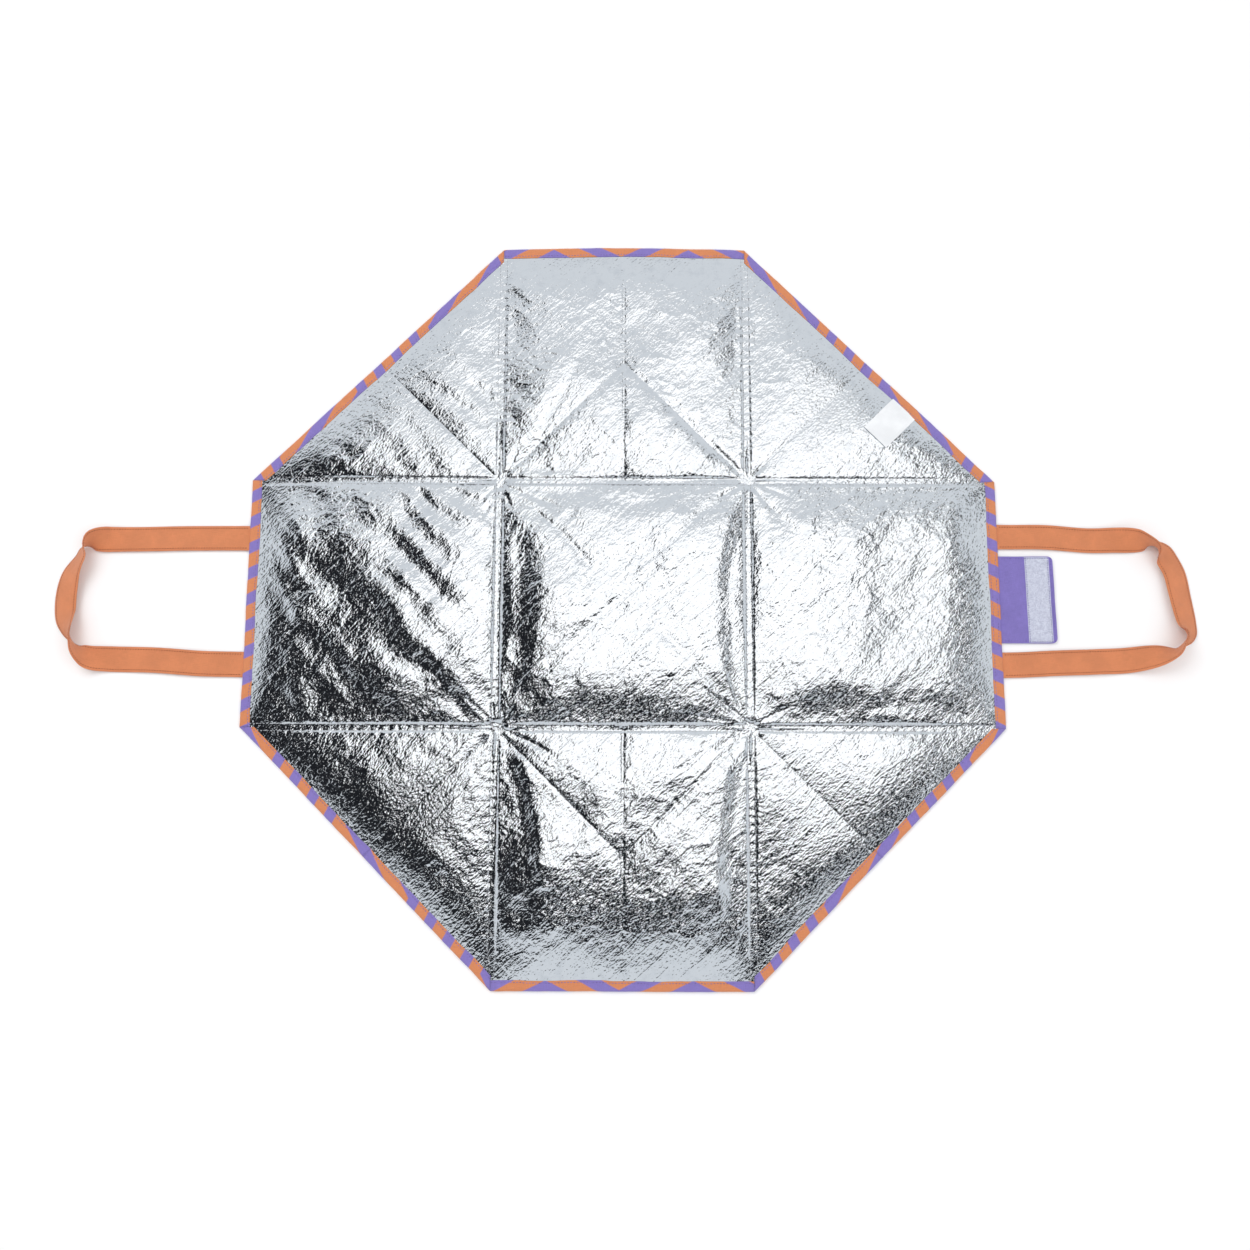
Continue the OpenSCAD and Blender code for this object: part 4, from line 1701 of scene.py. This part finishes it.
@dataclass
class ClosureTab:
    """The closing flap at the right wall with its fastening tape."""

    plan: MatPlan
    wardrobe: Wardrobe
    sewing: Sewing
    lean: float = 0.012
    trim: float = 3.6 * MM
    corner: float = 5 * MM
    thickness: float = 1.15 * MM

    def _shape(self, low: Vector, high: Vector, corner: float, step: float) -> Grid:
        """A grid over a box's plan with its outer end leaning and its outer corners rounded."""
        outline = np.array([(low.x, low.y), (high.x, low.y), (high.x, high.y), (low.x, high.y)])
        grid = square_grid(outline, step)
        middle, half = (low.y + high.y) / 2, (high.y - low.y) / 2
        points = grid.points.copy()
        if corner > 0:
            past_x = points[:, 0] - (high.x - corner)
            past_y = np.abs(points[:, 1] - middle) - (half - corner)
            inside = (past_x > 0) & (past_y > 0)
            far = np.hypot(past_x, past_y)[inside]
            scale = np.maximum(past_x, past_y)[inside] / far
            sign = np.sign(points[inside, 1] - middle)
            points[inside, 0] = high.x - corner + past_x[inside] * scale
            points[inside, 1] = middle + sign * (half - corner + past_y[inside] * scale)
        grid.points = points
        return grid

    def _leant(self, x: Array, y: Array) -> Array:
        """How far a point moves outwards for the tab's slant and length, growing from the hem."""
        low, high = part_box("closure_tab")
        share = smooth_step(x, low.x, low.x + 24 * MM)
        return -share * (self.trim + self.lean * (y - (low.y + high.y) / 2))

    def _level(self, x: Array, y: Array) -> Array:
        """Height of the tab's top: puckers at the hem, a slight roll at the end."""
        low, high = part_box("closure_tab")
        out = x - self.plan.rim
        pucker = 0.55 * MM * np.exp(-np.maximum(out, 0) / (8 * MM)) * smooth_step(out, -0.001, 0.004)
        fold = np.sin(2 * math.pi * y / (10.5 * MM) + 2.0 * LatticeNoise(61)(y / 0.015 + 20, y * 0))
        soft = 0.35 * MM * (1 + LatticeNoise(62)(x / 0.022 + 20, y / 0.022 + 20))
        soft = soft * smooth_step(out, 0.0, 0.012)
        roll = 0.5 * MM * smooth_step(x, high.x - 12 * MM, high.x)
        return low.z + self.thickness + pucker * (1 + fold) + soft + roll

    def _finish(
        self,
        name: str,
        grid: Grid,
        top: Array,
        bottom: Array,
        material: bpy.types.Material,
        parts_uv: float,
    ) -> bpy.types.Object:
        """Closes a slab over a leaning grid."""
        faces, parts = close_slab(grid)
        flat = grid.points.copy()
        flat[:, 0] += self._leant(flat[:, 0], flat[:, 1])
        points = np.vstack([np.column_stack([flat, top]), np.column_stack([flat, bottom])])
        uv = np.vstack([grid.points, grid.points + parts_uv])
        piece = make_piece(name, points, faces, uv, [material])
        mark_sharp(piece, parts)
        return piece

    def _hang(self, piece: bpy.types.Object) -> None:
        """Bakes the tab's transform into its mesh."""
        rim, level = self.plan.rim, self.plan.fold_z
        start, end = (rim - 0.5 * MM, 0, level), (rim + 6 * MM, 0, level)
        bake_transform(piece)
        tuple(start)
        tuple(end)

    @staticmethod
    def _tape_box() -> tuple[Vector, Vector]:
        """The hook tape's box, reaching almost to the tab's two sides."""
        low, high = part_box("hook_tape")
        wider = Vector((0.0, 1.2 * MM, 0.0))
        return low - wider, high + wider

    def build(self) -> bpy.types.Object:
        """Builds the doubled cloth."""
        low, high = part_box("closure_tab")
        inner = Vector((self.plan.rim - 8 * MM, low.y, low.z))
        grid = self._shape(inner, high, self.corner, 1.6 * MM)
        top = self._level(grid.points[:, 0], grid.points[:, 1])
        piece = self._finish("closure_tab_cloth", grid, top, top - self.thickness, self.wardrobe.tab, 0.002)
        self._hang(piece)
        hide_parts("closure_tab", "closure_tab_end")
        return piece

    def tape(self) -> bpy.types.Object:
        """Builds the fuzzy tape sewn near the tab's end."""
        low, high = self._tape_box()
        grid = self._shape(low, high, 1.5 * MM, 1.0 * MM)
        x, y = grid.points.T
        edge = np.minimum(np.minimum(x - low.x, high.x - x), np.minimum(y - low.y, high.y - y))
        pile = smooth_step(edge, 1.6 * MM, 3.0 * MM)
        tuft = LatticeNoise(63)(x / 0.0016 + 30, y / 0.0016 + 30)
        level = self._level(x, y)
        top = level + (0.30 + 0.75 * pile + 0.16 * pile * tuft) * MM
        piece = self._finish("hook_tape_strip", grid, top, level - 0.1 * MM, self.wardrobe.tape, 0.0)
        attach(piece, "closure_tab")
        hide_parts("hook_tape")
        return piece

    def _rectangle(
        self, low: Vector, high: Vector, inward: float, lift: float, sides: Sequence[int]
    ) -> list[SeamRow]:
        """Rows of stitches along chosen sides of a box's plan."""
        corners = [
            (low.x + inward, low.y + inward),
            (high.x - inward, low.y + inward),
            (high.x - inward, high.y - inward),
            (low.x + inward, high.y - inward),
        ]
        rows = []
        for side in sides:
            start, end = np.array(corners[side]), np.array(corners[(side + 1) % 4])
            count = max(2, round(float(np.linalg.norm(end - start)) / (1.2 * MM)))
            flat = start + (end - start) * np.linspace(0, 1, count + 1)[:, None]
            level = self._level(flat[:, 0], flat[:, 1]) + lift
            flat[:, 0] += self._leant(flat[:, 0], flat[:, 1])
            rows.append(SeamRow(np.column_stack([flat, level]), np.tile([0.0, 0.0, 1.0], (count + 1, 1))))
        return rows

    def stitches(self) -> list[bpy.types.Object]:
        """Sews the tab's edges and the tape's border."""
        low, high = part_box("closure_tab")
        low.x = self.plan.rim + 1.5 * MM
        edges = self._rectangle(low, high, 2.2 * MM, 0.12 * MM, (0, 1, 2))
        cloth = self.sewing.sew("stitches_tab", edges, ThreadKind.TAB, 2.8 * MM, 11)
        self._hang(cloth)
        low, high = self._tape_box()
        border = self._rectangle(low, high, 1.1 * MM, 0.42 * MM, (0, 1, 2, 3))
        tape = self.sewing.sew("stitches_hook_tape", border, ThreadKind.TAB, 2.4 * MM, 12)
        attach(tape, "closure_tab")
        return [cloth, tape]


@dataclass
class LoopTape:
    """The soft fastening tape under the left wall, which the tab closes on."""

    wardrobe: Wardrobe
    sewing: Sewing

    def build(self) -> bpy.types.Object:
        """Builds the tape, pile downwards."""
        low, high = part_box("loop_tape")
        outline = np.array([(low.x, low.y), (high.x, low.y), (high.x, high.y), (low.x, high.y)])
        grid = square_grid(outline, 1.0 * MM)
        faces, parts = close_slab(grid)
        x, y = grid.points.T
        edge = np.minimum(np.minimum(x - low.x, high.x - x), np.minimum(y - low.y, high.y - y))
        pile = smooth_step(edge, 1.6 * MM, 3.0 * MM)
        tuft = 0.5 + 0.5 * LatticeNoise(64)(x / 0.0016 + 30, y / 0.0016 + 30)
        bottom = 0.32 * MM - pile * (0.16 + 0.14 * tuft) * MM
        points = np.vstack(
            [
                np.column_stack([grid.points, np.full(len(x), 0.85 * MM)]),
                np.column_stack([grid.points, bottom]),
            ]
        )
        piece = make_piece(
            "loop_tape_strip", points, faces, np.vstack([grid.points, grid.points]), [self.wardrobe.tape]
        )
        mark_sharp(piece, parts)
        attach(piece, "left_wall")
        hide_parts("loop_tape")
        return piece

    def stitches(self) -> bpy.types.Object:
        """Sews the tape's border, seen from below."""
        low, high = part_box("loop_tape")
        off = 1.1 * MM
        corners = [
            (low.x + off, low.y + off), (high.x - off, low.y + off), (high.x - off, high.y - off),
            (low.x + off, high.y - off), (low.x + off, low.y + off),
        ]
        path = np.column_stack([np.array(corners), np.full(5, 0.27 * MM)])
        row = SeamRow(path, np.tile([0.0, 0.0, -1.0], (5, 1)))
        piece = self.sewing.sew("stitches_loop_tape", [row], ThreadKind.TAB, 2.4 * MM, 13)
        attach(piece, "left_wall")
        return piece


@dataclass
class CareLabel:
    """A bare woven label sewn in at the hem of a corner."""

    plan: MatPlan
    lining: QuiltedLining
    wardrobe: Wardrobe
    body: str = "gusset_back_right_a"
    length: float = 42 * MM
    width: float = 31 * MM
    start: float = 44 * MM

    def build(self) -> bpy.types.Object:
        """Builds the label lying on the foil, its free end a little raised."""
        panel = next(p for p in self.plan.panels if p.name == self.body)
        corner = (self.plan.half + self.plan.rim) / 2
        along = np.array([DIAGONAL, -DIAGONAL])
        inward = np.array([-DIAGONAL, -DIAGONAL])
        tucked = self.plan.hem_width - 1.5 * MM
        long = self.length + 2 * MM
        grid = square_grid(np.array([(0, 0), (self.width, 0), (self.width, long), (0, long)]), 1.5 * MM)
        local = grid.points
        grid.faces = [tuple(reversed(f)) for f in grid.faces]
        grid.loop = list(reversed(grid.loop))
        flat = np.array([corner, corner]) + (self.start + local[:, :1]) * along
        flat = flat + (tucked + local[:, 1:]) * inward
        share = local[:, 1] / long
        foil = self.lining.top(panel)
        steps = (-4 * MM, 0, 4 * MM)
        spread = [foil(flat[:, 0] + dx, flat[:, 1] + dy) for dx in steps for dy in steps]
        level = np.mean(spread, axis=0) * 0.5 + np.max(spread, axis=0) * 0.5 + 0.12 * MM
        level += 0.9 * MM * share**3 + 0.25 * MM * np.sin(local[:, 0] / self.width * 5) * share
        faces, parts = close_slab(grid)
        points = np.vstack([np.column_stack([flat, level + 0.22 * MM]), np.column_stack([flat, level])])
        uv = np.vstack([local, local])
        piece = make_piece("care_label_cloth", points, faces, uv, [self.wardrobe.label])
        mark_sharp(piece, parts)
        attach(piece, self.body)
        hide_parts("care_label")
        return piece


# ---------------------------------------------------------------- the studio


@dataclass
class Studio:
    """A pale floor, soft light and the camera."""

    camera_place: tuple[float, float, float] = (0.0024, -0.27, 1.35)
    camera_tilt: float = 10.4
    camera_turn: float = 0.137
    lens: float = 39.8
    floor_size: float = 12.0

    def build(self) -> None:
        """Builds the whole studio."""
        self._camera()
        self._floor()
        self._lights()
        self._surroundings()
        bpy.context.scene.view_settings.view_transform = "Standard"
        bpy.context.scene.view_settings.look = "None"

    def _camera(self) -> None:
        """Looks down on the mat from just in front of it."""
        data = bpy.data.cameras.new("camera")
        data.lens = self.lens
        data.sensor_width = 36.0
        data.clip_end = 50.0
        camera = bpy.data.objects.new("camera", data)
        camera.location = self.camera_place
        camera.rotation_euler = Euler((math.radians(self.camera_tilt), 0.0, math.radians(self.camera_turn)))
        bpy.context.scene.collection.objects.link(camera)
        bpy.context.scene.camera = camera

    def _floor(self) -> None:
        """A plain pale floor."""
        half = self.floor_size / 2
        mesh = bpy.data.meshes.new("floor")
        below = -0.4 * MM
        corners = [(x, y, below) for x, y in ((-half, -half), (half, -half), (half, half), (-half, half))]
        mesh.from_pydata(corners, [], [(0, 1, 2, 3)])
        floor = bpy.data.objects.new("floor", mesh)
        bpy.context.scene.collection.objects.link(floor)
        material = bpy.data.materials.new("floor")
        material.use_nodes = True
        shader = material.node_tree.nodes["Principled BSDF"]
        shader.inputs["Base Color"].default_value = (0.93, 0.93, 0.93, 1.0)
        shader.inputs["Roughness"].default_value = 0.9
        shader.inputs["Specular IOR Level"].default_value = 0.1
        mesh.materials.append(material)

    def _lights(self) -> None:
        """Broad soft lights that the foil doesn't mirror."""
        for name, place, size, power in (
            ("key", (-0.9, 0.9, 2.0), 1.3, 17.0),
            ("fill", (1.1, -0.7, 1.9), 1.6, 9.0),
        ):
            data = bpy.data.lights.new(name, "AREA")
            data.size = size
            data.energy = power
            light = bpy.data.objects.new(name, data)
            light.location = place
            light.rotation_euler = (-Vector(place)).to_track_quat("-Z", "Y").to_euler()
            light.visible_glossy = False
            bpy.context.scene.collection.objects.link(light)

    def _surroundings(self) -> None:
        """What the foil mirrors: a bright panel overhead, dark gaps and pale walls."""
        world = bpy.data.worlds.new("studio")
        bpy.context.scene.world = world
        world.use_nodes = True
        graph = Graph(world.node_tree)
        background = world.node_tree.nodes["Background"]
        place = graph.node("ShaderNodeTexCoord")
        split = graph.node("ShaderNodeSeparateXYZ")
        graph.plug(split.inputs[0], place.outputs["Generated"])
        x, y, z = split.outputs
        high = graph.math("MAXIMUM", z, 0.02)
        uneven = graph.node("ShaderNodeTexNoise")
        graph.plug(uneven.inputs["Vector"], place.outputs["Generated"])
        uneven.inputs["Scale"].default_value = 5.0
        uneven.inputs["Detail"].default_value = 1.0
        sway = graph.math("MULTIPLY", graph.math("SUBTRACT", uneven.outputs[0], 0.5), 0.09)
        across = graph.math("ADD", graph.math("DIVIDE", x, high), sway)
        along = graph.math("ADD", graph.math("DIVIDE", y, high), sway)
        left, right = graph.span(across, -0.18, -0.13), graph.span(across, 0.33, 0.27)
        front, back = graph.span(along, -0.01, 0.045), graph.span(along, 0.42, 0.36)
        wide, pile_shade = graph.math("MULTIPLY", left, right), graph.math("MULTIPLY", front, back)
        panel = graph.math("MULTIPLY", wide, pile_shade)
        near = graph.math("MAXIMUM", graph.span(along, -0.13, -0.19), graph.span(along, 0.38, 0.43))
        sides = graph.math("MAXIMUM", graph.span(across, -0.44, -0.50), graph.span(across, 0.38, 0.44))
        beyond = graph.math("MAXIMUM", near, sides)
        pale = graph.tint(graph.span(z, 0.35, 0.85), (0.76, 0.78, 0.81, 1.0), (0.66, 0.69, 0.72, 1.0))
        ribs = graph.math("SINE", graph.math("MULTIPLY", graph.math("ARCTAN2", y, x), 5.0))
        upright = graph.math("MULTIPLY", graph.span(ribs, 0.35, 0.6), graph.span(z, 0.75, 0.6))
        walls = graph.tint(upright, pale, (0.05, 0.055, 0.06, 1.0))
        gap = graph.tint(beyond, (0.012, 0.013, 0.016, 1.0), walls)
        seen = graph.tint(panel, gap, (1.15, 1.15, 1.15, 1.0))
        rays = graph.node("ShaderNodeLightPath")
        mirrored = graph.tint(rays.outputs["Is Glossy Ray"], (0.80, 0.80, 0.81, 1.0), seen)
        shown = graph.tint(rays.outputs["Is Camera Ray"], mirrored, (0.93, 0.93, 0.93, 1.0))
        graph.plug(background.inputs["Color"], shown)
        background.inputs["Strength"].default_value = 1.0


def main() -> None:
    """Builds the studio and the mat, piece by piece."""
    logging.basicConfig(level=logging.INFO, format="%(name)s: %(message)s")
    Studio().build()
    plan = MatPlan.from_frame()
    wardrobe = Wardrobe()
    sewing = Sewing(wardrobe)
    surface = QuiltSurface(plan)
    lining = QuiltedLining(plan, surface, wardrobe, sewing)
    cloth = OuterCloth(plan, surface, wardrobe)
    hem = HemBinding(plan, wardrobe, sewing)
    made: list[bpy.types.Object] = []
    for panel in plan.panels:
        made += [lining.pad(panel), lining.seams(panel), cloth.build(panel)]
        if panel.kind is not PanelKind.BASE:
            made += [hem.build(panel), hem.topstitch(panel)]
    for strap in (
        CarryStrap(plan, wardrobe, sewing, "handle_right", "right_wall", 1, RIGHT_ROUTE, (68, -62)),
        CarryStrap(plan, wardrobe, sewing, "handle_left", "left_wall", -1, LEFT_ROUTE, (65, -63)),
    ):
        made += [strap.build(), strap.edging()]
    tab = ClosureTab(plan, wardrobe, sewing)
    made += [tab.build(), tab.tape(), *tab.stitches()]
    loops = LoopTape(wardrobe, sewing)
    made += [loops.build(), loops.stitches()]
    made.append(CareLabel(plan, lining, wardrobe).build())
    for piece in made:
        log.info("%s: %d faces", piece.name, len(piece.data.polygons))


if __name__ == "__main__":
    main()
